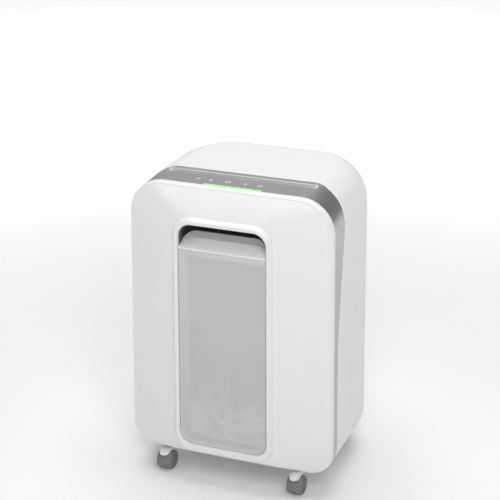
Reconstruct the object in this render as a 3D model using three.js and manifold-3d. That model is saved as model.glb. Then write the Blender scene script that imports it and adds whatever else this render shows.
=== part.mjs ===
// Free-standing paper shredder on four casters, in millimetres, +Z up.
// The front faces -Y, and +X is to the right for someone looking along +Y.
// The origin is on the floor, under the middle of the overall box.
import * as THREE from "three";
import { mergeVertices } from "three/addons/utils/BufferGeometryUtils.js";
import Module from "manifold-3d";

// ---- Driving dimensions -------------------------------------------------------------------------
const HALF_WIDTH = 175; // cabinet, at MID_Z
const MID_Z = 275;
const SIDE_DRAFT = 8e-5; // how fast the sides spread towards the floor, as a share per mm
const BASE_Z = 40; // underside of the cabinet
const TOP_Z = 520; // top deck
const FRONT_TOP_Z = 517; // top of the bin's front, where the deck starts to rise
const EDGE_Y = -100; // plane where the bin's front meets the cabinet
const RIM_Y = -146; // foremost face of the rim round the window
const REAR_Y = 143; // flat of the back
const TAIL_Y = 146; // what stands proud of the back
const WALL = 3; // moulded walls
const GAP = 0.3; // between pieces that touch

const CORNER_TOP = 57; // corner radii of the outline seen from the front
const CORNER_BOTTOM = 42;
const PLAN_CORNER = 90; // upright corners at the back
const REAR_EDGE = 24; // top and bottom edges at the back

const WINDOW = { half: 75, low: 76, high: 463, corner: 22 }; // opening in the bin's front
const WINDOW_TOP_Z = 421; // top of the clear panel, where the pull begins
const TUNNEL_Y = -105; // back end of the wall round the opening
const TUB = { half: 147, front: -104.7, back: 108, low: 62, high: 388 };

const SLOT = { half: 120, front: -60, back: -50 }; // paper entry
const GUIDE = { half: 127, back: -43, corner: 6, top: TOP_Z - 0.8, bottom: TOP_Z - 10 };
const CUTTER_Z = 452;
const CUTTER_RADIUS = 20;
const SHAFT_RADIUS = 5;
const PLATE_X = 130; // side plates of the cutting head
const MODULE_CUTTER = 2.25; // gear tooth modules
const MODULE_MOTOR = 1.5;
const TEETH = { cutter: 16, small: 12, large: 40, pinion: 10 };
const CUTTER_SPACING = MODULE_CUTTER * TEETH.cutter;
const FRONT_CUTTER_Y = -73;
const REAR_CUTTER_Y = FRONT_CUTTER_Y + CUTTER_SPACING;
const REDUCTION_Y = REAR_CUTTER_Y + (MODULE_CUTTER * (TEETH.cutter + TEETH.small)) / 2;
const MOTOR_Y = REDUCTION_Y + (MODULE_MOTOR * (TEETH.large + TEETH.pinion)) / 2;

const WHEEL_RADIUS = 16;
const CASTER_X = 117;
const CASTER_TRAIL = 14; // wheel axle behind the swivel axis
const SWIVEL_Y = { front: -119, rear: 90 };
const SWITCH = { x: -60, z: 95 };
const INLET = { x: 60, z: 84 };

const ARC = 6; // steps in a quarter round of the big outlines

// ---- Finishes -----------------------------------------------------------------------------------
const finish = (color, roughness, metalness = 0) =>
  () => new THREE.MeshStandardMaterial({ color, roughness, metalness });
const whiteShell = finish(0xf4f4f4, 0.35);
const silver = finish(0x9c9c9e, 0.32, 0.6);
const lightGrey = finish(0xd2d2d2, 0.4);
const handleGrey = finish(0xdcdcdd, 0.45);
const darkPlastic = finish(0x1c1c1e, 0.55);
const smokeClear = finish(0xc9c9c8, 0.25);
const casterGrey = finish(0x7e7e80, 0.5);
const steel = finish(0xa9abad, 0.35, 0.9);
const zincPlate = finish(0xb9bbbd, 0.45, 0.8);
const bronze = finish(0xb08d4a, 0.4, 0.8);
const boardGreen = finish(0x1f5a3a, 0.6);
const lampGreen = finish(0x6fdc5a, 0.3);
const paperWhite = finish(0xe9e9e4, 0.9);

// ---- Solids -------------------------------------------------------------------------------------
const wasm = await Module();
wasm.setup();

const positionsOnly = (geometry) => {
  const bare = geometry.clone();
  for (const name of Object.keys(bare.attributes)) {
    if (name !== "position") bare.deleteAttribute(name);
  }
  return mergeVertices(bare, 1e-3);
};

const toSolid = (geometry) => {
  const bare = positionsOnly(geometry);
  const vertProperties = new Float32Array(bare.attributes.position.array);
  const triVerts = new Uint32Array(bare.index.array);
  return new wasm.Manifold(new wasm.Mesh({ numProp: 3, vertProperties, triVerts }));
};

const toGeometry = (solid) => {
  const mesh = solid.getMesh();
  const geometry = new THREE.BufferGeometry();
  geometry.setAttribute("position", new THREE.BufferAttribute(new Float32Array(mesh.vertProperties), 3));
  geometry.setIndex(new THREE.BufferAttribute(new Uint32Array(mesh.triVerts), 1));
  geometry.computeVertexNormals();
  return geometry;
};

// Joins the first solid with every other one.
const join = (first, ...others) =>
  toGeometry(others.reduce((sum, other) => sum.add(toSolid(other)), toSolid(first)));

// Cuts every tool out of a body.
const cut = (body, ...tools) =>
  toGeometry(tools.reduce((rest, tool) => rest.subtract(toSolid(tool)), toSolid(body)));

const keep = (body, region) => toGeometry(toSolid(body).intersect(toSolid(region)));

// A box from its low and high corners.
const block = (x0, x1, y0, y1, z0, z1) =>
  new THREE.BoxGeometry(x1 - x0, y1 - y0, z1 - z0).translate((x0 + x1) / 2, (y0 + y1) / 2, (z0 + z1) / 2);

// A cylinder along X, Y or Z through a centre.
const rod = (axis, radius, length, x, y, z, segments = 24) => {
  const geometry = new THREE.CylinderGeometry(radius, radius, length, segments);
  if (axis === "x") geometry.rotateZ(-Math.PI / 2);
  if (axis === "z") geometry.rotateX(Math.PI / 2);
  return geometry.translate(x, y, z);
};

// An outline in (y, z), drawn out along X.
const drawnAlongX = (shape, x0, x1) => {
  const settings = { depth: x1 - x0, bevelEnabled: false, curveSegments: 8 };
  const geometry = new THREE.ExtrudeGeometry(shape, settings);
  const toFrame = new THREE.Matrix4().set(0, 0, 1, x0, 1, 0, 0, 0, 0, 1, 0, 0, 0, 0, 0, 1);
  return geometry.applyMatrix4(toFrame);
};

// An outline in (x, y), drawn up along Z.
const drawnUp = (shape, z0, z1) => {
  const settings = { depth: z1 - z0, bevelEnabled: false, curveSegments: 6 };
  return new THREE.ExtrudeGeometry(shape, settings).translate(0, 0, z0);
};

const outline = (points) => new THREE.Shape(points.map(([u, v]) => new THREE.Vector2(u, v)));

const roundedPlan = (x0, x1, y0, y1, r) => {
  const shape = new THREE.Shape();
  shape.moveTo(x0 + r, y0).lineTo(x1 - r, y0).absarc(x1 - r, y0 + r, r, -Math.PI / 2, 0);
  shape.lineTo(x1, y1 - r).absarc(x1 - r, y1 - r, r, 0, Math.PI / 2);
  shape.lineTo(x0 + r, y1).absarc(x0 + r, y1 - r, r, Math.PI / 2, Math.PI);
  shape.lineTo(x0, y0 + r).absarc(x0 + r, y0 + r, r, Math.PI, 1.5 * Math.PI);
  return shape;
};

// A ring of points at one y: a rectangle with rounded corners, spreading slightly towards the floor.
const roundedRing = ({ y, half, low, high, top, bottom = top, draft = SIDE_DRAFT }) => {
  const corners = [
    [half - bottom, low + bottom, bottom, -Math.PI / 2],
    [half - top, high - top, top, 0],
    [-(half - top), high - top, top, Math.PI / 2],
    [-(half - bottom), low + bottom, bottom, Math.PI],
  ];
  const ring = [];
  for (const [cx, cz, radius, start] of corners) {
    for (let step = 0; step <= ARC; step += 1) {
      const angle = start + (step / ARC) * (Math.PI / 2);
      const z = cz + radius * Math.sin(angle);
      const x = cx + radius * Math.cos(angle);
      ring.push(new THREE.Vector3(x * (1 + draft * (MID_Z - z)), y, z));
    }
  }
  return ring;
};

// A skin through rings of equal count, front to back. It is closed by flat ends, or by joining the
// last ring to the first.
const skin = (rings, endless = false) => {
  const count = rings[0].length;
  const positions = rings.flat().flatMap((point) => [point.x, point.y, point.z]);
  const index = [];
  const last = endless ? rings.length : rings.length - 1;
  for (let row = 0; row < last; row += 1) {
    const here = row * count;
    const next = ((row + 1) % rings.length) * count;
    for (let step = 0; step < count; step += 1) {
      const beside = (step + 1) % count;
      index.push(here + step, here + beside, next + beside);
      index.push(here + step, next + beside, next + step);
    }
  }
  if (!endless) {
    const back = (rings.length - 1) * count;
    for (let step = 1; step < count - 1; step += 1) {
      index.push(0, step + 1, step);
      index.push(back, back + step, back + step + 1);
    }
  }
  const geometry = new THREE.BufferGeometry();
  geometry.setAttribute("position", new THREE.Float32BufferAttribute(positions, 3));
  geometry.setIndex(index.reverse());
  return geometry;
};

// ---- Cabinet ------------------------------------------------------------------------------------
// How far a quarter round has come in at y, for a round that ends at the given plane.
const roundedAway = (y, radius, end) => {
  const past = Math.min(Math.max(y - (end - radius), 0), radius);
  return radius - Math.sqrt(radius * radius - past * past);
};

const deckHeight = (y) => {
  const ahead = Math.min(y, SLOT.front);
  return THREE.MathUtils.mapLinear(ahead, EDGE_Y, SLOT.front, FRONT_TOP_Z, TOP_Z);
};

// The cabinet's section at y, moved in by a wall's thickness for the inner face.
const cabinetRing = (y, inset) => {
  const rear = REAR_Y - inset;
  const edge = roundedAway(y, REAR_EDGE - inset, rear);
  return roundedRing({
    y,
    half: HALF_WIDTH - inset - roundedAway(y, PLAN_CORNER - inset, rear),
    low: BASE_Z + inset + edge,
    high: deckHeight(y) - inset - edge,
    top: CORNER_TOP - inset,
    bottom: CORNER_BOTTOM - inset,
  });
};

const cabinetSolid = (front, inset) => {
  const rear = REAR_Y - inset;
  const planStart = REAR_Y - PLAN_CORNER;
  const stations = [front, SLOT.front, planStart];
  for (let step = 1; step <= 8; step += 1) {
    stations.push(planStart + (rear - planStart) * Math.sin((step / 8) * (Math.PI / 2)));
  }
  return skin(stations.map((y) => cabinetRing(y, inset)));
};

// Where the silver band ends and the white shell begins, as (y, z) from the top deck down.
const bandEdge = (offset) => {
  const curve = new THREE.SplineCurve(
    [
      [-31, 535], [-33, 521], [-42, 513], [-47, 497], [-51, 470],
      [-47, 432], [-50, 398], [-68, 362], [-78, 336], [-80, 290],
    ].map(([y, z]) => new THREE.Vector2(y + offset, z)),
  );
  return curve.getPoints(27);
};

const bandRegion = (offset) => {
  const shape = new THREE.Shape(bandEdge(offset));
  const end = bandEdge(offset).at(-1);
  shape.lineTo(end.x, 0).lineTo(-150, 0).lineTo(-150, 535);
  return drawnAlongX(shape, -200, 200);
};

const guidePlan = (inset) =>
  roundedPlan(
    -GUIDE.half + inset, GUIDE.half - inset, SLOT.front + inset, GUIDE.back - inset, GUIDE.corner - inset,
  );

const paperCut = () => drawnUp(guidePlan(0), TOP_Z - 20, TOP_Z + 10);

const cabinetSkin = () => cut(cabinetSolid(EDGE_Y + GAP, 0), cabinetSolid(EDGE_Y - 1, WALL));

const rearShell = () =>
  cut(
    cabinetSkin(),
    bandRegion(GAP),
    block(-66, 66, 130, 150, 334, 426),
    block(SWITCH.x - 14, SWITCH.x + 14, 130, 150, SWITCH.z - 9, SWITCH.z + 9),
    rod("y", 8.3, 30, INLET.x, REAR_Y, INLET.z, 20),
  );

const LIGHT = { x0: -48, x1: 49, y0: -98.6, y1: -95.4 };

const controlBand = () =>
  cut(
    keep(cabinetSkin(), bandRegion(0)),
    paperCut(),
    block(LIGHT.x0 - GAP, LIGHT.x1 + GAP, LIGHT.y0 - GAP, LIGHT.y1 + GAP, TOP_Z - 20, TOP_Z + 10),
  );

// Light-coloured lead-in behind the paper entry, with a closed end at each side of it.
const paperGuide = () =>
  cut(
    drawnUp(guidePlan(GAP), GUIDE.bottom, GUIDE.top),
    block(-SLOT.half, SLOT.half, SLOT.front - 1, SLOT.back, TOP_Z - 20, TOP_Z + 10),
  );

const statusLight = () =>
  block(LIGHT.x0, LIGHT.x1, LIGHT.y0, LIGHT.y1, FRONT_TOP_Z - 2.9, FRONT_TOP_Z + 0.4);

const frontFrame = () => {
  const ring = (y, inset) =>
    roundedRing({
      y,
      half: HALF_WIDTH - WALL - inset,
      low: BASE_Z + WALL + inset,
      high: FRONT_TOP_Z - WALL - inset,
      top: CORNER_TOP - WALL - inset,
      bottom: CORNER_BOTTOM - WALL - inset,
    });
  const plate = skin([ring(-98.5, 0.4), ring(-95.5, 0.4)]);
  return cut(plate, block(-152, 152, -110, -90, 60.5, 392));
};

// Plate under the cabinet with a socket for each caster's stem, reaching forward for the front pair.
const baseTray = () => {
  const low = 32.5;
  const high = BASE_Z - GAP;
  const arms = [];
  const sockets = [];
  for (const x of [-CASTER_X, CASTER_X]) {
    arms.push(block(x - 8, x + 8, SWIVEL_Y.front, -70, low, high));
    arms.push(rod("z", 8, high - low, x, SWIVEL_Y.front, (low + high) / 2, 20));
    for (const y of Object.values(SWIVEL_Y)) {
      sockets.push(rod("z", 4.1, 12, x, y, 32.3, 24));
    }
  }
  return cut(join(drawnUp(roundedPlan(-126, 126, -78, 100, 9), low, high), ...arms), ...sockets);
};

const binRail = (side) => block(side * 118 - 6, side * 118 + 6, -92, 84, BASE_Z + WALL + GAP, TUB.low - 0.4);

const rearGrille = () => {
  const slots = [];
  for (let z = 342; z <= 418; z += 9.5) {
    slots.push(block(-60, 60, 140, 150, z - 2.5, z + 2.5));
  }
  return cut(block(-72, 72, REAR_Y + GAP, 145.3, 328, 432), ...slots);
};

// Collar the mains lead would leave by, with a flange outside and its neck through the shell.
const mainsInlet = () => {
  const neck = rod("y", 8, 10, INLET.x, REAR_Y - 3, INLET.z, 20);
  const flange = rod("y", 12, TAIL_Y - REAR_Y - GAP, INLET.x, (REAR_Y + GAP + TAIL_Y) / 2, INLET.z, 20);
  return cut(join(neck, flange), rod("y", 4, 40, INLET.x, REAR_Y, INLET.z, 16));
};

const switchBezel = () =>
  cut(
    join(
      block(SWITCH.x - 17, SWITCH.x + 17, REAR_Y + GAP, 145.3, SWITCH.z - 12, SWITCH.z + 12),
      block(SWITCH.x - 13.6, SWITCH.x + 13.6, 128, REAR_Y + GAP, SWITCH.z - 8.6, SWITCH.z + 8.6),
    ),
    block(SWITCH.x - 11, SWITCH.x + 11, 131, 150, SWITCH.z - 6, SWITCH.z + 6),
  );

// Rocker with two flat faces that meet at its middle; at rest the half towards +X is pressed in.
const ROCKER_TILT = THREE.MathUtils.degToRad(7);
const rockerSwitch = () => {
  const face = outline([[-10, -6], [10, -6], [10, 3.4], [0, 1], [-10, 3.4]]);
  const rocker = drawnUp(face, -5.6, 5.6).rotateZ(-ROCKER_TILT);
  return rocker.translate(SWITCH.x, 140, SWITCH.z);
};

// ---- Cutting head -------------------------------------------------------------------------------
const sidePlate = (side) => {
  const x = side * PLATE_X;
  const plate = block(x - 1.5, x + 1.5, -94, 66, 396.8, 503);
  const bores = [
    rod("x", BEARING_RADIUS + GAP, 10, x, FRONT_CUTTER_Y, CUTTER_Z),
    rod("x", BEARING_RADIUS + GAP, 10, x, REAR_CUTTER_Y, CUTTER_Z),
  ];
  if (side > 0) bores.push(rod("x", 5, 10, x, MOTOR_Y, CUTTER_Z));
  return cut(plate, ...bores);
};

// A profile of (radius, x) pairs turned about the X axis.
const turnedAboutX = (profile, segments) =>
  new THREE.LatheGeometry(profile.map(([r, x]) => new THREE.Vector2(r, x)), segments).rotateZ(-Math.PI / 2);

const BEARING_RADIUS = 8;
const bearing = () => {
  const bore = SHAFT_RADIUS + 0.1;
  return turnedAboutX([[bore, -3], [BEARING_RADIUS, -3], [BEARING_RADIUS, 3], [bore, 3], [bore, -3]], 24);
};

const tieRod = () => rod("x", 4, 2 * (PLATE_X - 1.8), 0, 0, 0, 12);

// Shaft with cutting discs; the other shaft's discs turn in the spaces between these.
const DISC_PITCH = 30;
const cutterShaft = (firstDisc, rightEnd) => {
  const hub = 14;
  const halfDisc = 7;
  const profile = [[0, -139], [SHAFT_RADIUS, -139], [SHAFT_RADIUS, -125], [hub, -125]];
  for (let middle = firstDisc; middle < 120; middle += DISC_PITCH) {
    profile.push([hub, middle - halfDisc], [CUTTER_RADIUS, middle - halfDisc]);
    profile.push([CUTTER_RADIUS, middle + halfDisc], [hub, middle + halfDisc]);
  }
  profile.push([hub, 125], [SHAFT_RADIUS, 125], [SHAFT_RADIUS, rightEnd], [0, rightEnd]);
  return turnedAboutX(profile, 16);
};

// Involute outline in (y, z), turned so that a tooth, or a space, points along +Y.
const gearOutline = (teeth, module, spaceAhead) => {
  const pressure = THREE.MathUtils.degToRad(25);
  const backlash = 0.45;
  const pitch = (module * teeth) / 2;
  const base = pitch * Math.cos(pressure);
  const radii = [pitch - 1.15 * module, pitch, pitch + 0.8 * module];
  const involute = (angle) => Math.tan(angle) - angle;
  const halfAngle = (radius) => {
    const angle = Math.acos(Math.min(base / Math.max(radius, base), 1));
    return Math.PI / (2 * teeth) - backlash / (2 * pitch) + involute(pressure) - involute(angle);
  };
  const points = [];
  for (let tooth = 0; tooth < teeth; tooth += 1) {
    const middle = ((tooth + (spaceAhead ? 0.5 : 0)) / teeth) * 2 * Math.PI;
    for (const radius of radii) {
      const angle = middle - halfAngle(radius);
      points.push(new THREE.Vector2(radius * Math.cos(angle), radius * Math.sin(angle)));
    }
    for (const radius of [...radii].reverse()) {
      const angle = middle + halfAngle(radius);
      points.push(new THREE.Vector2(radius * Math.cos(angle), radius * Math.sin(angle)));
    }
  }
  return new THREE.Shape(points);
};

const gear = (teeth, module, bore, x0, x1, spaceAhead) => {
  const blank = drawnAlongX(gearOutline(teeth, module, spaceAhead), x0, x1);
  return bore > 0 ? cut(blank, rod("x", bore, 200, x0, 0, 0)) : blank;
};

const reductionGear = () =>
  cut(
    join(
      gear(TEETH.small, MODULE_CUTTER, 0, 136, 149.2, true),
      gear(TEETH.large, MODULE_MOTOR, 0, 149, 157, false),
    ),
    rod("x", 4.1, 60, 146, 0, 0),
  );

const motorPinion = () => {
  const shaft = rod("x", 4, 37.5, 139.25, 0, 0);
  return join(gear(TEETH.pinion, MODULE_MOTOR, 0, 149, 157, true), shaft);
};

const motor = () => {
  const can = rod("x", 27, 118, 61, MOTOR_Y, CUTTER_Z, 24);
  const rearBoss = rod("x", 12, 8, -1, MOTOR_Y, CUTTER_Z, 16);
  const frontBoss = rod("x", 12, 9.2, 123.6, MOTOR_Y, CUTTER_Z, 16);
  return cut(join(can, rearBoss, frontBoss), rod("x", 4.5, 8.5, 124.25, MOTOR_Y, CUTTER_Z, 16));
};

const throatPlate = (y) => block(-128.2, 128.2, y - 1, y + 1, 475, GUIDE.bottom - 0.5);

const stripperBar = (y) => block(-PLATE_X + 1.8, PLATE_X - 1.8, y - 4, y + 4, 424, 430);

const chutePlate = () =>
  cut(block(-163.5, 163.5, -95.2, 86, 393.5, 396.5), block(-126, 126, -92, -14, 390, 400));

// ---- Bin ----------------------------------------------------------------------------------------
// Moulded front: a hipped face that rises from the cabinet's outline to a proud rim round the window,
// hollow behind, with a wall round the opening.
const frontCover = () => {
  const outer = (y, inset) =>
    roundedRing({
      y,
      half: HALF_WIDTH - inset,
      low: BASE_Z + inset,
      high: FRONT_TOP_Z - inset,
      top: CORNER_TOP - inset,
      bottom: CORNER_BOTTOM - inset,
    });
  const rim = (y, inset, low = inset) =>
    roundedRing({
      y,
      half: WINDOW.half + inset,
      low: WINDOW.low - low,
      high: WINDOW.high + inset,
      top: WINDOW.corner + inset,
    });
  const back = EDGE_Y - GAP;
  return skin(
    [
      outer(back, 3.5),
      outer(-106, 9),
      rim(-132, WALL),
      rim(TUNNEL_Y, WALL),
      rim(TUNNEL_Y, 0),
      rim(RIM_Y + 2.6, 0),
      rim(RIM_Y + 0.6, 2, 3),
      rim(RIM_Y, 5, 9),
      rim(-145, 7.5, 12.5),
      rim(-141.5, 9, 14),
      rim(-138.5, 11, 16),
      outer(back - 9.5, 5),
      outer(back - 7, 1.5),
      outer(back - 3, 0),
      outer(back, 0),
    ],
    true,
  );
};

const windowPanel = () => {
  const ring = (y, inset) =>
    roundedRing({
      y,
      half: WINDOW.half - inset,
      low: WINDOW.low + inset,
      high: WINDOW.high,
      top: WINDOW.corner,
      bottom: WINDOW.corner - inset,
    });
  const sheet = skin([ring(-143, 1.6), ring(-142, 0.6), ring(-140, 0.6)]);
  return cut(sheet, block(-100, 100, -150, -130, WINDOW_TOP_Z - 0.5, 500));
};

const archedTop = (high, inset) => {
  const ring = (y) =>
    roundedRing({ y, half: WINDOW.half - inset, low: 300, high, top: WINDOW.corner + 2, bottom: 10 });
  return skin([ring(-160), ring(-90)]);
};

// Pull: a sloping ledge above the window that ends in an upright lip to hook the fingers behind.
const LIP_TOP_Z = WINDOW_TOP_Z + 25.5;
const pullHandle = () => {
  const profile = outline([
    [-143, WINDOW_TOP_Z], [-143, WINDOW_TOP_Z + 2.2], [-120.6, WINDOW_TOP_Z + 14], [-120.6, LIP_TOP_Z],
    [-117.9, LIP_TOP_Z], [-117.9, WINDOW_TOP_Z + 11.8], [-140, WINDOW_TOP_Z],
  ].reverse());
  return keep(drawnAlongX(profile, -90, 90), archedTop(LIP_TOP_Z, 0.6));
};

// Back and floor of the finger space behind the pull.
const handlePocket = () => {
  const high = WINDOW.high - 0.4;
  const low = WINDOW_TOP_Z + 6;
  const profile = outline([
    [-117.5, low], [-105.4, low], [-105.4, high], [-107.8, high], [-107.8, low + 2.5], [-117.5, low + 2.5],
  ]);
  return keep(drawnAlongX(profile, -90, 90), archedTop(high, 0.4));
};

const binTub = () =>
  cut(
    block(-TUB.half, TUB.half, TUB.front, TUB.back, TUB.low, TUB.high),
    block(-TUB.half + WALL, TUB.half - WALL, TUB.front + WALL, TUB.back - WALL, TUB.low + WALL, 400),
    block(-WINDOW.half, WINDOW.half, TUB.front - 1, -90, 80, 400),
  );

const binMagnet = () => block(TUB.half + GAP, 150.5, -58, -46, 352, 366);

const binSensor = () => block(154, 170, -60, -44, 348, 370);

// Heap of shreds, hollow from below so that it weighs what loose paper does.
const shredHeap = () => {
  const heap = block(-140, 140, TUB.front + WALL + 1, 101, 66, 150);
  const behindWindow = block(-70, 70, -139, -90, 86, 158);
  const hollows = [block(-136, 136, -96, 97, 60, 146), block(-66, 66, -135, -90, 90, 154)];
  return cut(join(heap, behindWindow), ...hollows);
};

// ---- Casters ------------------------------------------------------------------------------------
// Drawn with the swivel axis on x = 0, y = 0 and the axle behind it.
const casterFork = () => {
  const web = outline([[-4, 29.8], [-4, 24], [8, 9], [19, 9], [23, 16], [19, 25], [8, 29.8]].reverse());
  const body = join(drawnAlongX(web, -2.5, 2.5), rod("z", 4, 8.6, 0, 0, 33.7, 24));
  return cut(body, rod("x", 2.6, 20, 0, CASTER_TRAIL, WHEEL_RADIUS, 24));
};

const casterWheels = () => {
  const segments = 20;
  const rim = WHEEL_RADIUS / Math.cos(Math.PI / segments); // the flats between corners touch the floor
  const half = [[2.5, 3], [rim - 1, 3], [rim, 4.2], [rim, 11], [rim - 1.6, 13], [0, 13]];
  const profile = [...half.map(([r, x]) => [r, -x]).reverse(), ...half];
  const wheels = turnedAboutX(profile, segments).rotateX(Math.PI / segments);
  return wheels.translate(0, CASTER_TRAIL, WHEEL_RADIUS);
};

// ---- Assembly -----------------------------------------------------------------------------------
const group = new THREE.Group();

const add = (name, geometry, material, [x, y, z] = [0, 0, 0]) => {
  const mesh = new THREE.Mesh(geometry, material());
  mesh.name = name;
  mesh.position.set(x, y, z);
  group.add(mesh);
};

add("rear_shell", rearShell(), whiteShell);
add("control_band", controlBand(), silver);
add("paper_guide", paperGuide(), lightGrey);
add("status_light", statusLight(), lampGreen);
add("touch_board", block(-85, 50, -88, -66, 508, 509.6), boardGreen);
add("front_frame", frontFrame(), whiteShell);
add("base_tray", baseTray(), whiteShell);
add("rear_grille", rearGrille(), whiteShell);
add("mains_inlet", mainsInlet(), darkPlastic);
add("switch_bezel", switchBezel(), darkPlastic);
add("rocker_switch", rockerSwitch(), darkPlastic);
add("bin_sensor", binSensor(), darkPlastic);
add("power_board", block(-110, -20, 74, 75.6, 396.8, 468), boardGreen);

for (const [side, word] of [[-1, "left"], [1, "right"]]) {
  add(`bin_rail_${word}`, binRail(side), lightGrey);
  add(`head_plate_${word}`, sidePlate(side), zincPlate);
  add(`front_bearing_${word}`, bearing(), bronze, [side * PLATE_X, FRONT_CUTTER_Y, CUTTER_Z]);
  add(`rear_bearing_${word}`, bearing(), bronze, [side * PLATE_X, REAR_CUTTER_Y, CUTTER_Z]);
}
const rods = { front: [-86, 494], rear: [22, 494], low: [22, 410] };
for (const [word, [y, z]] of Object.entries(rods)) {
  add(`tie_rod_${word}`, tieRod(), zincPlate, [0, y, z]);
}
add("front_cutter", cutterShaft(-105, 147.5), steel, [0, FRONT_CUTTER_Y, CUTTER_Z]);
add("rear_cutter", cutterShaft(-90, 147.5), steel, [0, REAR_CUTTER_Y, CUTTER_Z]);
const cutterBore = SHAFT_RADIUS + GAP;
const cutterGear = (spaceAhead) => gear(TEETH.cutter, MODULE_CUTTER, cutterBore, 136, 146, spaceAhead);
add("front_cutter_gear", cutterGear(true), steel, [0, FRONT_CUTTER_Y, CUTTER_Z]);
add("rear_cutter_gear", cutterGear(false), steel, [0, REAR_CUTTER_Y, CUTTER_Z]);
add("reduction_gear", reductionGear(), steel, [0, REDUCTION_Y, CUTTER_Z]);
add("reduction_axle", rod("x", 4, 28.2, 145.9, 0, 0), zincPlate, [0, REDUCTION_Y, CUTTER_Z]);
add("motor_pinion", motorPinion(), steel, [0, MOTOR_Y, CUTTER_Z]);
add("motor", motor(), darkPlastic);
add("throat_plate_front", throatPlate(SLOT.front - 1.3), zincPlate);
add("throat_plate_rear", throatPlate(SLOT.back + 1.3), zincPlate);
add("stripper_bar_front", stripperBar(-88), zincPlate);
add("stripper_bar_rear", stripperBar(-22), zincPlate);
add("chute_plate", chutePlate(), zincPlate);

add("front_cover", frontCover(), whiteShell);
add("window_panel", windowPanel(), smokeClear);
add("pull_handle", pullHandle(), handleGrey);
add("handle_pocket", handlePocket(), darkPlastic);
add("bin_tub", binTub(), lightGrey);
add("bin_magnet", binMagnet(), steel);
add("paper_shreds", shredHeap(), paperWhite);

for (const [row, y] of Object.entries(SWIVEL_Y)) {
  for (const [side, word] of [[-1, "left"], [1, "right"]]) {
    add(`caster_fork_${row}_${word}`, casterFork(), casterGrey, [side * CASTER_X, y, 0]);
    add(`caster_wheels_${row}_${word}`, casterWheels(), casterGrey, [side * CASTER_X, y, 0]);
  }
}

export default group;
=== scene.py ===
# %% [markdown]
# # A deskside paper shredder
# A white plastic cabinet stands on four twin-wheel casters. A silver band wraps over its deck, and the
# whole front is the face of a pull-out bin with a grey window. The mechanical model is already made and
# is loaded as a fixed frame, so every piece below is built in the place that the frame gives it.

# %% Load the frame
import itertools
import math
import bmesh
import bpy
from mathutils import Matrix, Vector


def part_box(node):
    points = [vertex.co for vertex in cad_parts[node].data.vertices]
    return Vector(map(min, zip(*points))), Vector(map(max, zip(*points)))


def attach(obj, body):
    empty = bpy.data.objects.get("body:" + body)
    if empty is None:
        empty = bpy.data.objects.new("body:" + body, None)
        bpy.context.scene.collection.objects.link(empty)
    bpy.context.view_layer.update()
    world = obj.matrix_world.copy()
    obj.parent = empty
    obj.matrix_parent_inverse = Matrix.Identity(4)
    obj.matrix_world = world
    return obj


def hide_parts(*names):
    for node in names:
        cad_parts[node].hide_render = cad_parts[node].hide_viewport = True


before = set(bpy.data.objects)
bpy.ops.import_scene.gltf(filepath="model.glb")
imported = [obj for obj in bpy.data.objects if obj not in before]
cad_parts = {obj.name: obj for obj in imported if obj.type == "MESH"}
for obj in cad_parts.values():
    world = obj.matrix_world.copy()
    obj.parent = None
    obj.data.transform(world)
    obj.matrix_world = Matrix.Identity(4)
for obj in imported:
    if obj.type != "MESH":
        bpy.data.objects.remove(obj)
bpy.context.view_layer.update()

MM = 0.001

# %% [markdown]
# ## Small helpers
# Shapes are easiest to think about in millimetres, while Blender works in metres, so each mesh is
# scaled once, when it is made. Every mesh also gets its double points merged and its faces turned
# outwards, and its edges are smooth unless two faces meet at a clear angle.

# %% Meshes from points
SHARP = math.radians(32)


def box_mm(node):
    """Lowest and highest corner of a CAD node, in millimetres."""
    return [tuple(value / MM for value in corner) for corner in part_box(node)]


def settle(mesh):
    """Merges doubles, turns the faces outwards and leaves only clear angles sharp."""
    shape = bmesh.new()
    shape.from_mesh(mesh)
    bmesh.ops.remove_doubles(shape, verts=shape.verts, dist=0.01 * MM)
    bmesh.ops.recalc_face_normals(shape, faces=shape.faces)
    shape.to_mesh(mesh)
    shape.free()
    mesh.shade_smooth()
    mesh.set_sharp_from_angle(angle=SHARP)
    return mesh


def linked(name, data):
    """A new object in the scene that shows this data."""
    piece = bpy.data.objects.new(name, data)
    bpy.context.scene.collection.objects.link(piece)
    return piece


def mesh_object(name, points, faces):
    """An object from points in millimetres."""
    mesh = bpy.data.meshes.new(name)
    mesh.from_pydata([Vector(point) * MM for point in points], [], faces)
    return linked(name, settle(mesh))


# %% Bodies through rings
def skin(name, rings, endless=False):
    """A body through rings of equal count, with flat ends, or with its last ring joined to its first."""
    count = len(rings[0])
    rows = len(rings) if endless else len(rings) - 1
    faces = []
    for row in range(rows):
        here, there = row * count, (row + 1) % len(rings) * count
        for step in range(count):
            beside = (step + 1) % count
            faces.append((here + step, here + beside, there + beside, there + step))
    if not endless:
        last = (len(rings) - 1) * count
        faces.append(tuple(range(count)))
        faces.append(tuple(range(last, last + count)))
    return mesh_object(name, [point for ring in rings for point in ring], faces)


# %% Angles, turned bodies and smooth curves
def full_turn(count):
    """Even angles all the way round."""
    return [2 * math.pi * step / count for step in range(count)]


def arc(start, end, steps):
    """Even angles from start to end, which are given in degrees."""
    return [math.radians(start + (end - start) * step / steps) for step in range(steps + 1)]


def middle(low, high):
    """The point halfway between two corners."""
    return [(a + b) / 2 for a, b in zip(low, high)]


def turned(name, profile, centre, segments=64):
    """A body turned about an axis along X; the profile is (x, radius), and its ends lie on the axis."""
    angles = full_turn(segments)
    return skin(name, [
        [(centre[0] + x, centre[1] + r * math.cos(a), centre[2] + r * math.sin(a)) for a in angles]
        for x, r in profile
    ])


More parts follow.
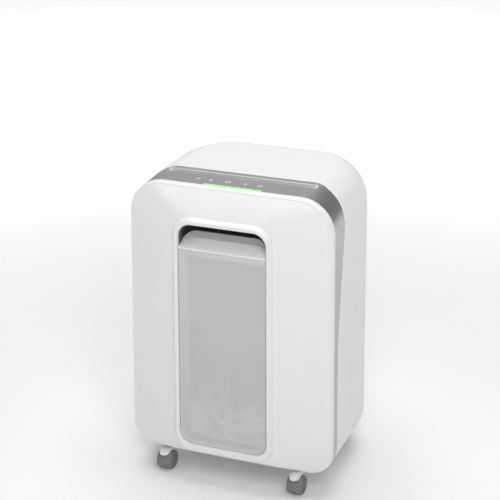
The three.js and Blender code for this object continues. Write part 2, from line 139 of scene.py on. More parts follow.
def smooth_through(keys, steps=6):
    """Points on a smooth curve through the keys, which are tuples of equal length."""
    ends = [keys[0], *keys, keys[-1]]
    points = []
    for before, start, end, after in zip(ends, ends[1:], ends[2:], ends[3:]):
        for step in range(steps):
            t = step / steps
            points.append(tuple(
                b + 0.5 * t * (c - a + t * (2 * a - 5 * b + 4 * c - d + t * (3 * (b - c) + d - a)))
                for a, b, c, d in zip(before, start, end, after)
            ))
    return [*points, keys[-1]]


# %% Cuts, joins and rounded edges
def plain_mesh(piece):
    """The mesh that a piece's modifiers make; they are then removed."""
    depsgraph = bpy.context.evaluated_depsgraph_get()
    depsgraph.update()
    mesh = bpy.data.meshes.new_from_object(piece.evaluated_get(depsgraph))
    piece.modifiers.clear()
    return mesh


def combine(piece, operation, *tools):
    """Cuts the tools out of a piece, joins them to it or keeps what they hold, and removes them."""
    for tool in tools:
        modifier = piece.modifiers.new("combine", "BOOLEAN")
        modifier.operation = operation
        modifier.solver = "EXACT"
        modifier.object = tool
    piece.data = settle(plain_mesh(piece))
    for tool in tools:
        bpy.data.objects.remove(tool)
    return piece


def cut(piece, *tools):
    return combine(piece, "DIFFERENCE", *tools)


def rounded_edges(piece, width, segments=3, angle=30):
    """Rounds a piece's clear edges by a width in millimetres."""
    modifier = piece.modifiers.new("round", "BEVEL")
    modifier.width = width * MM
    modifier.segments = segments
    modifier.limit_method = "ANGLE"
    modifier.angle_limit = math.radians(angle)
    modifier.harden_normals = True
    piece.data = settle(plain_mesh(piece))
    return piece


# %% Blocks and prisms
def block(name, low, high, radius=0.0, segments=3):
    """A box from its corners, with rounded edges if a radius is given."""
    corners = list(itertools.product(*zip(low, high)))
    faces = [(0, 1, 3, 2), (4, 6, 7, 5), (0, 4, 5, 1), (2, 3, 7, 6), (0, 2, 6, 4), (1, 5, 7, 3)]
    piece = mesh_object(name, corners, faces)
    return rounded_edges(piece, radius, segments) if radius else piece


def prism(name, outline, start, end, axis="x"):
    """An outline of (u, v) pairs, drawn along X as (y, z), along Y as (x, z) or along Z as (x, y)."""
    place = {
        "x": lambda u, v, w: (w, u, v),
        "y": lambda u, v, w: (u, w, v),
        "z": lambda u, v, w: (u, v, w),
    }[axis]
    return skin(name, [[place(u, v, w) for u, v in outline] for w in (start, end)])


# %% Handing a piece over
def hand_over(piece, body, slot, material, *nodes):
    """Gives a piece its finish, its body and the CAD nodes that it stands for; the slot is not used."""
    piece.data.materials.clear()
    piece.data.materials.append(material)
    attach(piece, body)
    if nodes:
        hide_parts(*nodes)
    print(f"{piece.name}: {len(piece.data.polygons)} faces on {body}")
    return piece


def merged(name, *pieces):
    """One object from several, without joining their surfaces."""
    shape = bmesh.new()
    for piece in pieces:
        shape.from_mesh(piece.data)
        bpy.data.objects.remove(piece)
    mesh = bpy.data.meshes.new(name)
    shape.to_mesh(mesh)
    shape.free()
    return linked(name, settle(mesh))


# %% [markdown]
# ## Camera
# The shredder is seen from its front right and from a little above, with a long lens, as for a
# catalogue picture, so its upright edges stay nearly parallel. Angles are measured as on a turntable:
# azimuth 0 looks at the front.

# %% Place the camera
AZIMUTH, ELEVATION = math.radians(21.2), math.radians(21.4)
AIM = Vector((-0.0072, 0.0, 0.3755))
DISTANCE = 2.41
camera_data = bpy.data.cameras.new("camera")
camera_data.lens = 104.7
camera = linked("camera", camera_data)
away = Vector((
    math.sin(AZIMUTH) * math.cos(ELEVATION),
    -math.cos(AZIMUTH) * math.cos(ELEVATION),
    math.sin(ELEVATION),
))
camera.location = AIM + away * DISTANCE
camera.rotation_mode = "QUATERNION"
camera.rotation_quaternion = (-away).to_track_quat("-Z", "Y")
bpy.context.scene.camera = camera
print("camera at", [round(value, 3) for value in camera.location])

# %% [markdown]
# ## Nodes and colours
# Colours are chosen as sRGB hex values, the way a paint chart gives them, and turned to the linear
# values that a shader adds up. One function adds any node with its settings and links.

# %% Colour and node helpers
def linear(hex_colour):
    """The linear RGBA of an sRGB hex colour such as "#a0a0a0"."""
    channels = [int(hex_colour[start:start + 2], 16) / 255 for start in (1, 3, 5)]
    bent = [c / 12.92 if c <= 0.04045 else ((c + 0.055) / 1.055) ** 2.4 for c in channels]
    return (*bent, 1.0)


def add_node(tree, kind, inputs=None, **settings):
    """Adds a node with its settings; an input is a value or another node's output."""
    node = tree.nodes.new(kind)
    for name, value in settings.items():
        setattr(node, name, value)
    for key, value in (inputs or {}).items():
        if isinstance(value, bpy.types.NodeSocket):
            tree.links.new(value, node.inputs[key])
        else:
            node.inputs[key].default_value = value
    return node


# %% A finish and its pattern
def new_finish(name, **sockets):
    """A material with one Principled shader; returns them, its tree and the place of each point."""
    material = bpy.data.materials.new(name)
    material.use_nodes = True
    tree = material.node_tree
    tree.nodes.clear()
    shader = add_node(tree, "ShaderNodeBsdfPrincipled", {
        key.replace("_", " ").title().replace("Ior", "IOR"): value for key, value in sockets.items()
    })
    output = add_node(tree, "ShaderNodeOutputMaterial")
    tree.links.new(shader.outputs["BSDF"], output.inputs["Surface"])
    return material, tree, shader, add_node(tree, "ShaderNodeTexCoord").outputs["Object"]


def dress(tree, shader, pattern, colours, gloss=None, span=(0.0, 1.0), relief=None, lit="Base Color"):
    """Lets a pattern mix two colours and, over its span, set the roughness between two values.

    A relief is a pattern, its depth in millimetres and its strength.
    """
    mix = add_node(tree, "ShaderNodeMix", {
        0: pattern, 6: linear(colours[0]), 7: linear(colours[1]),
    }, data_type="RGBA")
    tree.links.new(mix.outputs[2], shader.inputs[lit])
    if gloss:
        spread = add_node(tree, "ShaderNodeMapRange", {
            "Value": pattern, "From Min": span[0], "From Max": span[1],
            "To Min": gloss[0], "To Max": gloss[1],
        })
        tree.links.new(spread.outputs["Result"], shader.inputs["Roughness"])
    if relief:
        bump = add_node(tree, "ShaderNodeBump", {
            "Height": relief[0], "Distance": relief[1] * MM, "Strength": relief[2],
        })
        tree.links.new(bump.outputs["Normal"], shader.inputs["Normal"])


# %% [markdown]
# ## Light and floor
# The set is a white studio. A weak white sky fills the shadows, the key softbox stands high at the front
# right, a larger one hangs overhead, and a weak one behind is there for the silver deck to reflect. The
# floor glows, more so further out, which keeps the shadows pale and the background white.

# %% Sky, lamps and floor
SKY_STRENGTH = 0.19
bpy.context.scene.view_settings.view_transform = "Standard"
world = bpy.data.worlds.new("white studio")
world.use_nodes = True
world.node_tree.nodes["Background"].inputs["Color"].default_value = (1.0, 1.0, 1.0, 1.0)
world.node_tree.nodes["Background"].inputs["Strength"].default_value = SKY_STRENGTH
bpy.context.scene.world = world


def soft_lamp(name, place, size, power):
    """A square area lamp that faces the middle of the cabinet."""
    data = bpy.data.lights.new(name, "AREA")
    data.size = size
    data.energy = power
    lamp = linked(name, data)
    lamp.location = place
    lamp.rotation_mode = "QUATERNION"
    lamp.rotation_quaternion = (Vector((0, 0, 0.3)) - Vector(place)).to_track_quat("-Z", "Y")


soft_lamp("key softbox", (1.4, -2.8, 3.1), 2.0, 66)
soft_lamp("overhead softbox", (-0.2, 0.4, 4.2), 3.0, 106)
soft_lamp("back softbox", (-1.2, 2.9, 1.7), 2.2, 6)

# %% Glowing floor
floor_finish, floor_tree, floor_shader, floor_place = new_finish("seamless paper floor", roughness=0.9)
floor_cloud = add_node(floor_tree, "ShaderNodeTexNoise", {"Vector": floor_place, "Scale": 1.5})
dress(floor_tree, floor_shader, floor_cloud.outputs["Fac"], ("#f2f2f2", "#f7f7f7"))
floor_shader.inputs["Emission Color"].default_value = (1.0, 1.0, 1.0, 1.0)
from_middle = add_node(floor_tree, "ShaderNodeVectorMath", {0: floor_place}, operation="LENGTH")
floor_glow = add_node(floor_tree, "ShaderNodeMapRange", {
    "Value": from_middle.outputs["Value"], "From Min": 0.6, "From Max": 2.4, "To Min": 0.06, "To Max": 0.55,
}, interpolation_type="SMOOTHSTEP")
floor_tree.links.new(floor_glow.outputs["Result"], floor_shader.inputs["Emission Strength"])
FLOOR_HALF, FLOOR_Z = 15000, -0.4
floor_corners = [(-1, -1), (1, -1), (1, 1), (-1, 1)]
floor = mesh_object(
    "studio_floor", [(x * FLOOR_HALF, y * FLOOR_HALF, FLOOR_Z) for x, y in floor_corners], [(0, 1, 2, 3)],
)
floor.data.materials.append(floor_finish)

# %% [markdown]
# ## Finishes: moulded plastic
# The shell, band, tub and casters are all injection moulded. Moulded plastic is nearly one colour, but
# it is never quite even: the melt leaves a faint large-scale drift, the mould leaves a fine texture,
# and handling makes the gloss vary. The real texture is a few hundredths of a millimetre, too fine to
# show, so its width here is drawn as coarse as it needs to be seen.

# %% A moulded plastic
def moulded(name, colour, other, roughness, grain=0.9, depth=0.02, drift=70.0, **sockets):
    """Plastic from a mould; grain, depth and drift are in millimetres."""
    material, tree, shader, place = new_finish(name, **sockets)
    cloud, texture = [
        add_node(tree, "ShaderNodeTexNoise", {"Vector": place, "Scale": 1 / (size * MM), "Detail": detail})
        for size, detail in ((drift, 3.0), (grain, 2.0))
    ]
    dress(
        tree, shader, cloud.outputs["Fac"], (colour, other), (roughness - 0.03, roughness + 0.04),
        span=(0.3, 0.7), relief=(texture.outputs["Fac"], depth, 0.6),
    )
    return material


white_gloss_abs = moulded("polished white ABS", "#f3f3f4", "#efeff0", 0.35, depth=0.0)
pale_grey_abs = moulded("pale grey ABS, fine texture", "#d6d6d7", "#cfcfd1", 0.45)
milky_polypropylene = moulded("milky white polypropylene", "#f2f2f1", "#e9e9e8", 0.45)
# The finger space behind the pull is coloured dark grey as painted shade of the deep recess.
finger_space_painted_shade_abs = moulded("dark grey grained ABS", "#5c5c5f", "#525255", 0.55, grain=1.4, depth=0.05)
# The pull's ledge and lip are one plastic. The ledge's colour is lightened as painted light where it faces
# up, and the lip's is darkened to mid grey as painted shade under the top of the opening.
pull_ledge_painted_light_abs = moulded("pale ABS of the pull", "#fafafc", "#f4f4f6", 0.36, depth=0.0)
pull_lip_painted_shade_abs = moulded("mid grey ABS of the pull's lip", "#b2b2b5", "#a9a9ac", 0.5, depth=0.008)
black_grain_abs = moulded("black grained ABS", "#232325", "#1a1a1c", 0.55, grain=1.4, depth=0.05)
caster_nylon = moulded("grey glass-filled nylon", "#868688", "#7c7c7f", 0.5, grain=1.1, depth=0.03)
frosted_polycarbonate = moulded(
    "frosted face of the polycarbonate window", "#fdfdfc", "#f6f6f5", 0.36, drift=120.0, depth=0.0,
    alpha=0.56, ior=1.58,
)
clear_polycarbonate = moulded(
    "polished face of the polycarbonate window", "#f4f4f4", "#efefef", 0.34, drift=120.0, depth=0.0,
    alpha=0.05, ior=1.58,
)

# %% [markdown]
# ## Finishes: silver paint
# The band is ABS sprayed with silver lacquer: small aluminium flakes in a clear coat. The flakes make it
# reflect like dull metal, and they lie at slightly different angles, which the fine pattern shows.

# %% Silver lacquer
def silver_lacquer():
    """Aluminium flake paint; real flakes are about 0.03 mm, and are drawn at 0.7 mm so that they show."""
    material, tree, shader, place = new_finish(
        "sprayed silver lacquer", metallic=0.85, coat_weight=0.25, coat_roughness=0.12,
    )
    flakes = add_node(tree, "ShaderNodeTexVoronoi", {"Vector": place, "Scale": 1 / (0.7 * MM)})
    dress(tree, shader, flakes.outputs["Distance"], ("#a9a9ab", "#bdbdbf"), (0.33, 0.42))
    return material


silver_paint = silver_lacquer()

# %% [markdown]
# ## Finishes: metals
# Inside are zinc-plated sheet, ground cutting steel, sintered gears, oil-filled bronze and a painted
# motor. They share one recipe: a metal with fine lines from rolling or grinding along one direction, and
# a mottled gloss. A stretched noise makes the lines.

# %% A worked metal
def worked_metal(name, colour, other, roughness, grain=(0.4, 14.0, 0.4), metallic=1.0):
    """Metal with tool lines; grain is the pattern's size along X, Y and Z in millimetres."""
    material, tree, shader, place = new_finish(name, metallic=metallic)
    stretched = add_node(tree, "ShaderNodeMapping", {
        "Vector": place, "Scale": tuple(1 / (size * MM) for size in grain),
    })
    lines = add_node(tree, "ShaderNodeTexNoise", {
        "Vector": stretched.outputs["Vector"], "Scale": 1.0, "Detail": 3.0,
    })
    dress(
        tree, shader, lines.outputs["Fac"], (colour, other), (roughness - 0.08, roughness + 0.1),
        relief=(lines.outputs["Fac"], 0.02, 0.5),
    )
    return material


zinc_sheet = worked_metal("zinc-plated rolled steel", "#b7babd", "#cdd0d2", 0.38, (6.0, 5.0, 6.0))
cutter_steel = worked_metal("ground cutter steel", "#8f9194", "#b9bbbe", 0.26, (0.3, 6.0, 6.0))
gear_steel = worked_metal("sintered gear steel", "#77797b", "#8d8f91", 0.42, (0.8, 0.8, 0.8))
oilite_bronze = worked_metal("oil-filled bronze", "#a57c3f", "#c39a58", 0.4, (0.5, 0.5, 0.5))
motor_paint = worked_metal("grey painted steel", "#3b3d40", "#45474a", 0.45, (1.2, 1.2, 1.2), 0.3)
screw_steel = worked_metal("zinc-plated screw steel", "#a8abae", "#c4c7c9", 0.3, (0.5, 0.5, 0.5))

# %% [markdown]
# ## Finishes: lamp, ink, board and paper
# The light bar is a green lens lit from below. The touch marks are white pad-printed ink. The circuit
# boards are glass laminate under green solder mask, whose copper tracks show as a faint grid. Shredded
# office paper differs from strip to strip, so each strip carries a number that picks its tint.

# %% The last finishes
def glowing_lens():
    """Green acrylic over small lamps, brighter over each lamp than between them."""
    material, tree, shader, place = new_finish(
        "green acrylic lamp lens", roughness=0.25, base_color=linear("#8fe07a"), emission_strength=1.0,
    )
    lamps = add_node(tree, "ShaderNodeTexWave", {
        "Vector": place, "Scale": 1 / (60 * MM),
    }, bands_direction="X")
    dress(tree, shader, lamps.outputs["Fac"], ("#57d84a", "#86ee74"), lit="Emission Color")
    return material


def solder_mask():
    """Green laminate with tracks 1.3 mm apart."""
    material, tree, shader, place = new_finish("green solder mask laminate", roughness=0.35)
    tracks = add_node(tree, "ShaderNodeTexBrick", {
        "Vector": place, "Scale": 1 / (5.2 * MM), "Color1": linear("#1d5f3d"),
        "Color2": linear("#1a5637"), "Mortar": linear("#2f7d55"), "Mortar Size": 0.05,
    })
    tree.links.new(tracks.outputs["Color"], shader.inputs["Base Color"])
    return material


# %% Paper
def shredded_paper():
    """Office paper: matt, fibrous, and tinted strip by strip with the attribute named tint."""
    material, tree, shader, place = new_finish("shredded office paper", roughness=0.85)
    tint = add_node(tree, "ShaderNodeAttribute", attribute_name="tint")
    ramp = add_node(tree, "ShaderNodeValToRGB", {"Fac": tint.outputs["Fac"]})
    stops = ramp.color_ramp.elements
    stops[0].color = linear("#ececec")
    stops[1].color = linear("#68686c")
    for position, colour in ((0.32, "#d6d6d4"), (0.48, "#bcc4d4"), (0.6, "#dcd4b8"), (0.72, "#979ba8")):
        stops.new(position).color = linear(colour)
    ramp.color_ramp.interpolation = "CONSTANT"
    fibres = add_node(tree, "ShaderNodeTexNoise", {"Vector": place, "Scale": 1 / (1.5 * MM), "Detail": 4.0})
    bump = add_node(tree, "ShaderNodeBump", {"Height": fibres.outputs["Fac"], "Distance": 0.05 * MM})
    tree.links.new(ramp.outputs["Color"], shader.inputs["Base Color"])
    tree.links.new(bump.outputs["Normal"], shader.inputs["Normal"])
    return material


# %% The finishes made
lamp_lens = glowing_lens()
board_laminate = solder_mask()
paper_stock = shredded_paper()
white_ink = moulded("white pad-printed ink", "#f6f6f6", "#ececec", 0.5, grain=0.4)

# %% [markdown]
# ## The section of the cabinet
# Seen from the front, the cabinet is a rectangle with rounded corners whose sides spread slightly
# towards the floor, so that the mouldings leave their tools. Every big shell is a stack of such
# sections, so one function gives any point round a section.

# %% Points round a section
front_low, front_high = box_mm("front_cover")
shell_low, shell_high = box_mm("rear_shell")
MID_Z = 275.0
SIDE_DRAFT = 8e-5
HALF_WIDTH = 175.0
BASE_Z, TOP_Z = shell_low[2], shell_high[2]
FRONT_TOP_Z = front_high[2]
EDGE_Y = front_high[1] + 0.3
RIM_Y = front_low[1]
REAR_Y = shell_high[1]
CORNER_TOP, CORNER_BOTTOM = 57.0, 42.0
PLAN_CORNER, REAR_EDGE = 90.0, 24.0
WALL, GAP = 3.0, 0.3
CORNER_STEPS = 18
STRAIGHT_STEPS = (0.02, 0.25, 0.5, 0.75, 0.98)

SECTION = []
for corner in range(4):
    SECTION += [("round", corner, step / CORNER_STEPS) for step in range(CORNER_STEPS + 1)]
    SECTION += [("straight", corner, share) for share in STRAIGHT_STEPS]


def section_point(place, y, half, low, high, top, bottom=None, draft=SIDE_DRAFT):
    """A point on a rounded rectangle at y; corners 0 to 3 go round from the lower right."""
    kind, corner, share = place
    bottom = top if bottom is None else bottom
    centres = [
        (half - bottom, low + bottom, bottom), (half - top, high - top, top),
        (top - half, high - top, top), (bottom - half, low + bottom, bottom),
    ]

    def on_corner(number, turn):
        x, z, radius = centres[number]
        angle = math.radians(90 * (number - 1 + turn))
        return x + radius * math.cos(angle), z + radius * math.sin(angle)

    if kind == "round":
        x, z = on_corner(corner, share)
    else:
        (x0, z0), (x1, z1) = on_corner(corner, 1), on_corner((corner + 1) % 4, 0)
        x, z = x0 + share * (x1 - x0), z0 + share * (z1 - z0)
    return x * (1 + draft * (MID_Z - z)), y, z


def section(y, **shape):
    return [section_point(place, y, **shape) for place in SECTION]


print(len(SECTION), "points round each section")

# %% Points on the cabinet
guide_low, guide_high = box_mm("paper_guide")
SLOT_FRONT = guide_low[1] - GAP


def rounded_away(y, radius, end):
    """How far a quarter round has come in at y, for a round that ends at a plane."""
    past = min(max(y - (end - radius), 0.0), radius)
    return radius - math.sqrt(radius * radius - past * past)


def deck_height(y):
    """The deck rises from the bin's front to the paper entry, and is level behind it."""
    rise = (min(max(y, EDGE_Y), SLOT_FRONT) - EDGE_Y) / (SLOT_FRONT - EDGE_Y)
    return FRONT_TOP_Z + rise * (TOP_Z - FRONT_TOP_Z)


def cabinet_point(place, y, inset=0.0):
    rear = REAR_Y - inset
    edge = rounded_away(y, REAR_EDGE - inset, rear)
    return section_point(
        place, y,
        half=HALF_WIDTH - inset - rounded_away(y, PLAN_CORNER - inset, rear),
        low=BASE_Z + inset + edge,
        high=deck_height(y) - inset - edge,
        top=CORNER_TOP - inset,
        bottom=CORNER_BOTTOM - inset,
    )


# %% [markdown]
# ## The parting line
# The silver band is wide on the deck, sweeps forward round the shoulder and runs down as a narrow strip.
# Its rear edge is a smooth curve through a few points of the side view. Each point round the section
# asks that curve how far back the band reaches at its own height.

# %% The rear edge of the band
BAND_EDGE = smooth_through(
    [(-31, 535), (-33, 521), (-42, 513), (-47, 497), (-51, 470), (-47, 432), (-50, 398), (-68, 362),
     (-78, 336), (-80, 290), (-80, 0)], 12,
)


def band_end(place):
    """How far back, in y, the band reaches at this point of the section."""
    height = cabinet_point(place, SLOT_FRONT)[2]
    for (y_above, above), (y_below, below) in zip(BAND_EDGE, BAND_EDGE[1:]):
        if below <= height <= above:
            return y_below + (height - below) / (above - below) * (y_above - y_below)
    return BAND_EDGE[-1][0]


band_ends = {place: band_end(place) for place in SECTION}
print("band reaches y", round(min(band_ends.values()), 1), "to", round(max(band_ends.values()), 1))

# %% [markdown]
# ## Rear shell
# One deep moulding closes the top, sides, back and underside. It is made as a bag: sections from the
# back to the parting line outside, and from the parting line to the back again inside, a wall's
# thickness further in. A small round at its front edge catches a line of light beside the band.

# %% Rear shell
LIP = 1.2  # radius of the round on the shell's front edge
PLAN_START = REAR_Y - PLAN_CORNER


def shell_row(share, inset, start):
    """A row of points: share 0 is the parting line, 1 the start of the rear corners, 2 the back."""
    row = []
    for place in SECTION:
        first = band_ends[place] + start
        if share <= 1:
            y = first + share * (PLAN_START - first)
        else:
            y = PLAN_START + (REAR_Y - inset - PLAN_START) * math.sin((share - 1) * math.pi / 2)
        row.append(cabinet_point(place, y, inset))
    return row


SHELL_SHARES = [0, 0.02, 0.12, 0.3, 0.5, 0.7, 0.9, 1] + [1 + step / 18 for step in range(1, 19)]
outside = [shell_row(share, 0.0, GAP + LIP) for share in reversed(SHELL_SHARES)]
lip = [
    shell_row(0, LIP * (1 - math.cos(angle)), GAP + LIP * (1 - math.sin(angle)))
    for angle in arc(22.5, 90, 3)
]
inside = [shell_row(share, WALL, GAP) for share in SHELL_SHARES]
rear_shell = skin("rear_shell_moulding", outside + lip + inside)

grille_low, grille_high = box_mm("rear_grille")
bezel_low, bezel_high = box_mm("switch_bezel")
inlet_low, inlet_high = box_mm("mains_inlet")
inlet_middle = middle(inlet_low, inlet_high)


# %% Openings in the back
BACK_CUT = (130, 160)  # from inside the back wall to well outside it, in y


def back_tool(low, high, border):
    """A block that cuts a window through the back, smaller than a part's box by a border."""
    return block(
        "window tool", (low[0] + border, BACK_CUT[0], low[2] + border),
        (high[0] - border, BACK_CUT[1], high[2] - border),
    )


INLET_HOLE, INLET_DEPTH = 8.3, 12
inlet_outline = [
    (inlet_middle[0] + INLET_HOLE * math.cos(a), inlet_middle[2] + INLET_HOLE * math.sin(a))
    for a in full_turn(48)
]
cut(
    rear_shell, back_tool(grille_low, grille_high, 6), back_tool(bezel_low, bezel_high, 3),
    prism("inlet tool", inlet_outline, REAR_Y - INLET_DEPTH, REAR_Y + INLET_DEPTH, "y"),
)
hand_over(rear_shell, "cabinet", "white_shell", white_gloss_abs, "rear_shell")

# %% [markdown]
# ## Silver band
# The band lies between the bin's front and the parting line. It sits a little lower than the shell, so
# that the shell's rounded edge stands above it, and it has two openings in the deck: one for the paper
# and its guide, one for the light bar.

# %% Silver band
BAND_DROP = 0.7  # how far the band lies below the shell
FRONT_GAP = 0.4  # parting gap round the bin's front
light_low, light_high = box_mm("status_light")


def band_row(share, inset, start=0.0, end=0.0):
    row = []
    for place in SECTION:
        first, last = EDGE_Y + FRONT_GAP + start, band_ends[place] - end
        row.append(cabinet_point(place, first + share * (last - first), inset))
    return row


BAND_ROUND = 0.8
band_rows = [
    band_row(0, BAND_DROP + BAND_ROUND),
    band_row(0, BAND_DROP + 0.25, 0.25),
    band_row(0, BAND_DROP, BAND_ROUND),
    *[band_row(share, BAND_DROP, BAND_ROUND) for share in (0.03, 0.2, 0.4, 0.6, 0.8, 0.97, 1)],
    *[band_row(share, WALL) for share in (1, 0.8, 0.6, 0.4, 0.2, 0)],
]
control_band = skin("silver_band", band_rows, endless=True)


# %% Openings in the deck
def rounded_plan(x0, x1, y0, y1, radius, steps=8):
    """A rounded rectangle as (x, y) pairs."""
    left, right, near, far = x0 + radius, x1 - radius, y0 + radius, y1 - radius
    return [
        (x + radius * math.cos(angle), y + radius * math.sin(angle))
        for number, (x, y) in enumerate([(right, near), (right, far), (left, far), (left, near)])
        for angle in arc(90 * number - 90, 90 * number, steps)
    ]


def plan_of(low, high, border, radius):
    """A rounded plan round a part's box, wider than it by a border."""
    return rounded_plan(low[0] - border, high[0] + border, low[1] - border, high[1] + border, radius)


DECK_CUT = 20  # a cut reaches this far through the deck, above and below
deck_tools = []
for plan in (plan_of(guide_low, guide_high, GAP, 6), plan_of(light_low, light_high, GAP, 1.7)):
    deck_tools.append(prism("deck tool", plan, TOP_Z - DECK_CUT, TOP_Z + DECK_CUT, "z"))
cut(control_band, *deck_tools)
hand_over(control_band, "cabinet", "silver_trim", silver_paint, "control_band")

# %% [markdown]
# ## Paper guide and light bar
# Behind the slot a pale lead-in slopes down to the cutters and closes the slot at both ends. It is cut
# from a rounded block with a curved tool. The light bar is a narrow lens with round ends that stands
# just proud of the deck.

# %% Paper guide
guide_plan = plan_of(guide_low, guide_high, 0, 5.7)
guide_block = prism("paper_lead_in", guide_plan, guide_low[2], guide_high[2], "z")
SLOT_HALF, SLOT_BACK = 120.0, -50.0
LEAD_IN = 5.0  # radius of the slope down into the slot
spring = guide_high[2] - LEAD_IN
mouth = [(-70.0, TOP_Z - 20), (SLOT_BACK, TOP_Z - 20), (SLOT_BACK, spring)]
mouth += [
    (SLOT_BACK + LEAD_IN * (1 - math.cos(a)), spring + (LEAD_IN + 0.2) * math.sin(a)) for a in arc(10, 90, 8)
]
mouth += [(-70.0, TOP_Z + 5)]
FUNNEL = 4.0  # how far each end of the slot slopes outwards
wide = SLOT_HALF + FUNNEL
funnel = [(-SLOT_HALF, spring), (SLOT_HALF, spring), (wide, TOP_Z + 0.5), (-wide, TOP_Z + 0.5)]
cut(
    guide_block, prism("mouth tool", mouth, -SLOT_HALF, SLOT_HALF),
    prism("funnel tool", funnel, -70, SLOT_BACK + LEAD_IN * 0.6, "y"),
)
rounded_edges(guide_block, 0.5, 2)
hand_over(guide_block, "cabinet", "light_grey", pale_grey_abs, "paper_guide")

light_plan = plan_of(light_low, light_high, 0, 1.4)
light_bar = prism("green_light_bar", light_plan, light_low[2], light_high[2], "z")
rounded_edges(light_bar, 0.4, 2)
hand_over(light_bar, "cabinet", "green_lamp", lamp_lens, "status_light")

# %% [markdown]
# ## Touch marks
# Five printed marks show where to press. They are plain shapes of this builder's own: a leaning bar, a
# dot, a ring, a chevron and a square. Real ink is a few hundredths of a millimetre thick; here it is a
# thin solid that lies on the sloping deck.

# %% Touch marks
INK, INK_CLEAR = 0.08, 0.03  # thickness, and clearance over the deck


def ink_mark(name, outline, x, y, hole=None):
    """An outline in millimetres about (x, y), laid on the deck as a thin solid."""
    def laid(ring, rise):
        return [(x + u, y + v, deck_height(y + v) - BAND_DROP + rise + INK_CLEAR) for u, v in ring]

    rings = [laid(outline, 0.0), laid(outline, INK)]
    if hole is not None:
        rings += [laid(hole, INK), laid(hole, 0.0)]
    return skin(name, rings, endless=hole is not None)


def circle(radius):
    return [(radius * math.cos(a), radius * math.sin(a)) for a in full_turn(28)]


def bar(width, height, lean=0.0):
    u, v = width / 2, height / 2
    return [(-u - lean, -v), (u - lean, -v), (u + lean, v), (-u + lean, v)]


def chevron(size):
    notch, tip = size * 0.35, size * 0.65
    return [(-size, -size), (-notch, -size), (tip, 0), (-notch, size), (-size, size), (0, 0)]


# %% The five marks
MARK_Y = -78.0
marks = [
    ink_mark("mark_bar", bar(1.6, 8, 1.2), -65, MARK_Y),
    ink_mark("mark_dot", circle(2.2), -43, MARK_Y),
    ink_mark("mark_ring", circle(4.6), -14, MARK_Y, hole=circle(3.4)),
    ink_mark("mark_chevron", chevron(3.2), 16, MARK_Y),
    ink_mark("mark_square", bar(7, 7), 40, MARK_Y, hole=bar(4.8, 4.8)),
]
for mark in marks:
    hand_over(mark, "cabinet", "light_grey", white_ink)

# %% [markdown]
# ## Front of the bin
# The whole front is one moulding. Its face is a hip: it rises from the cabinet's outline to a proud rim
# round the window, with a soft crease at each corner. It is lofted through sections from its back edge,
# round its outer edge, up the hip, over the rim, down the wall of the opening and back inside.

# %% Outer edge of the front
WINDOW_HALF, WINDOW_LOW, WINDOW_HIGH, WINDOW_CORNER = 75.0, 76.0, 463.0, 22.0
TUNNEL_Y = -105.0
BACK = front_high[1]
ROUND_DEPTH, ROUND_IN = 9.5, 5.0  # the outer edge's round
CROWN = 2.0  # how far the hip bulges between its edges


def outer_ring(y, inset):
    return section(
        y, half=HALF_WIDTH - inset, low=BASE_Z + inset, high=FRONT_TOP_Z - inset,
        top=CORNER_TOP - inset, bottom=CORNER_BOTTOM - inset,
    )


def rim_ring(y, inset, low=None):
    low = inset if low is None else low
    return section(
        y, half=WINDOW_HALF + inset, low=WINDOW_LOW - low, high=WINDOW_HIGH + inset,
        top=WINDOW_CORNER + inset,
    )


def between(first, second, share, lift=0.0):
    """A ring part of the way from one ring to another, lifted forwards."""
    return [
        (a[0] + share * (b[0] - a[0]), a[1] + share * (b[1] - a[1]) - lift, a[2] + share * (b[2] - a[2]))
        for a, b in zip(first, second)
    ]


edge_rows = [
    outer_ring(BACK - ROUND_DEPTH * math.sin(a), ROUND_IN * (1 - math.cos(a))) for a in arc(0, 90, 10)
]
# %% Hip, rim and inside
RIM_FOOT = (-138.5, 11.0, 16.0)
hip_start, hip_end = edge_rows[-1], rim_ring(*RIM_FOOT)
hip_shares = [n / 24 for n in range(1, 24)]
hip_rows = [between(hip_start, hip_end, t, CROWN * 4 * t * (1 - t)) for t in hip_shares]
rim_keys = [
    RIM_FOOT, (-141.5, 9.2, 14.2), (-144.6, 7.4, 12.2), (RIM_Y, 4.8, 8.6), (-145.5, 2.0, 3.4),
    (-143.4, 0.3, 0.4), (-141.0, 0.0, 0.0),
]
rim_rows = [rim_ring(*key) for key in smooth_through(rim_keys, 5)]
tunnel_rows = [rim_ring(y, 0.0) for y in (-139, -125, -107, TUNNEL_Y)]
inner_rows = [rim_ring(TUNNEL_Y, WALL), rim_ring(-132, WALL), outer_ring(-106, 9), outer_ring(BACK, 3.5)]
front = skin("bin_front_moulding", edge_rows + hip_rows + rim_rows + tunnel_rows + inner_rows, endless=True)
hand_over(front, "bin", "white_shell", white_gloss_abs, "front_cover")

# %% [markdown]
# ## Window
# The window is a flat sheet of polycarbonate with a rounded outer edge, set a few millimetres behind
# the rim. Its outer face is frosted and its inner face is polished, so paper shows only where it is
# close behind. Each face gets its own finish; a frosted finish on both would hide the paper.

# %% Window
window_low, window_high = box_mm("window_panel")


def window_ring(y, inset):
    return section(
        y, half=WINDOW_HALF - inset, low=WINDOW_LOW + inset, high=window_high[2],
        top=2.0, bottom=WINDOW_CORNER - inset,
    )


WINDOW_EDGE = 1.7
window_rows = [
    window_ring(window_low[1] + WINDOW_EDGE * (1 - math.cos(a)), 0.6 + WINDOW_EDGE * (1 - math.sin(a)))
    for a in arc(0, 90, 6)
]
window = skin("smoked_window", window_rows + [window_ring(window_high[1], 0.6)])
hand_over(window, "bin", "smoke_clear", frosted_polycarbonate, "window_panel")
window.data.materials.append(clear_polycarbonate)
for face in window.data.polygons:
    if face.center.y > (window_high[1] - 0.1) * MM:
        face.material_index = 1

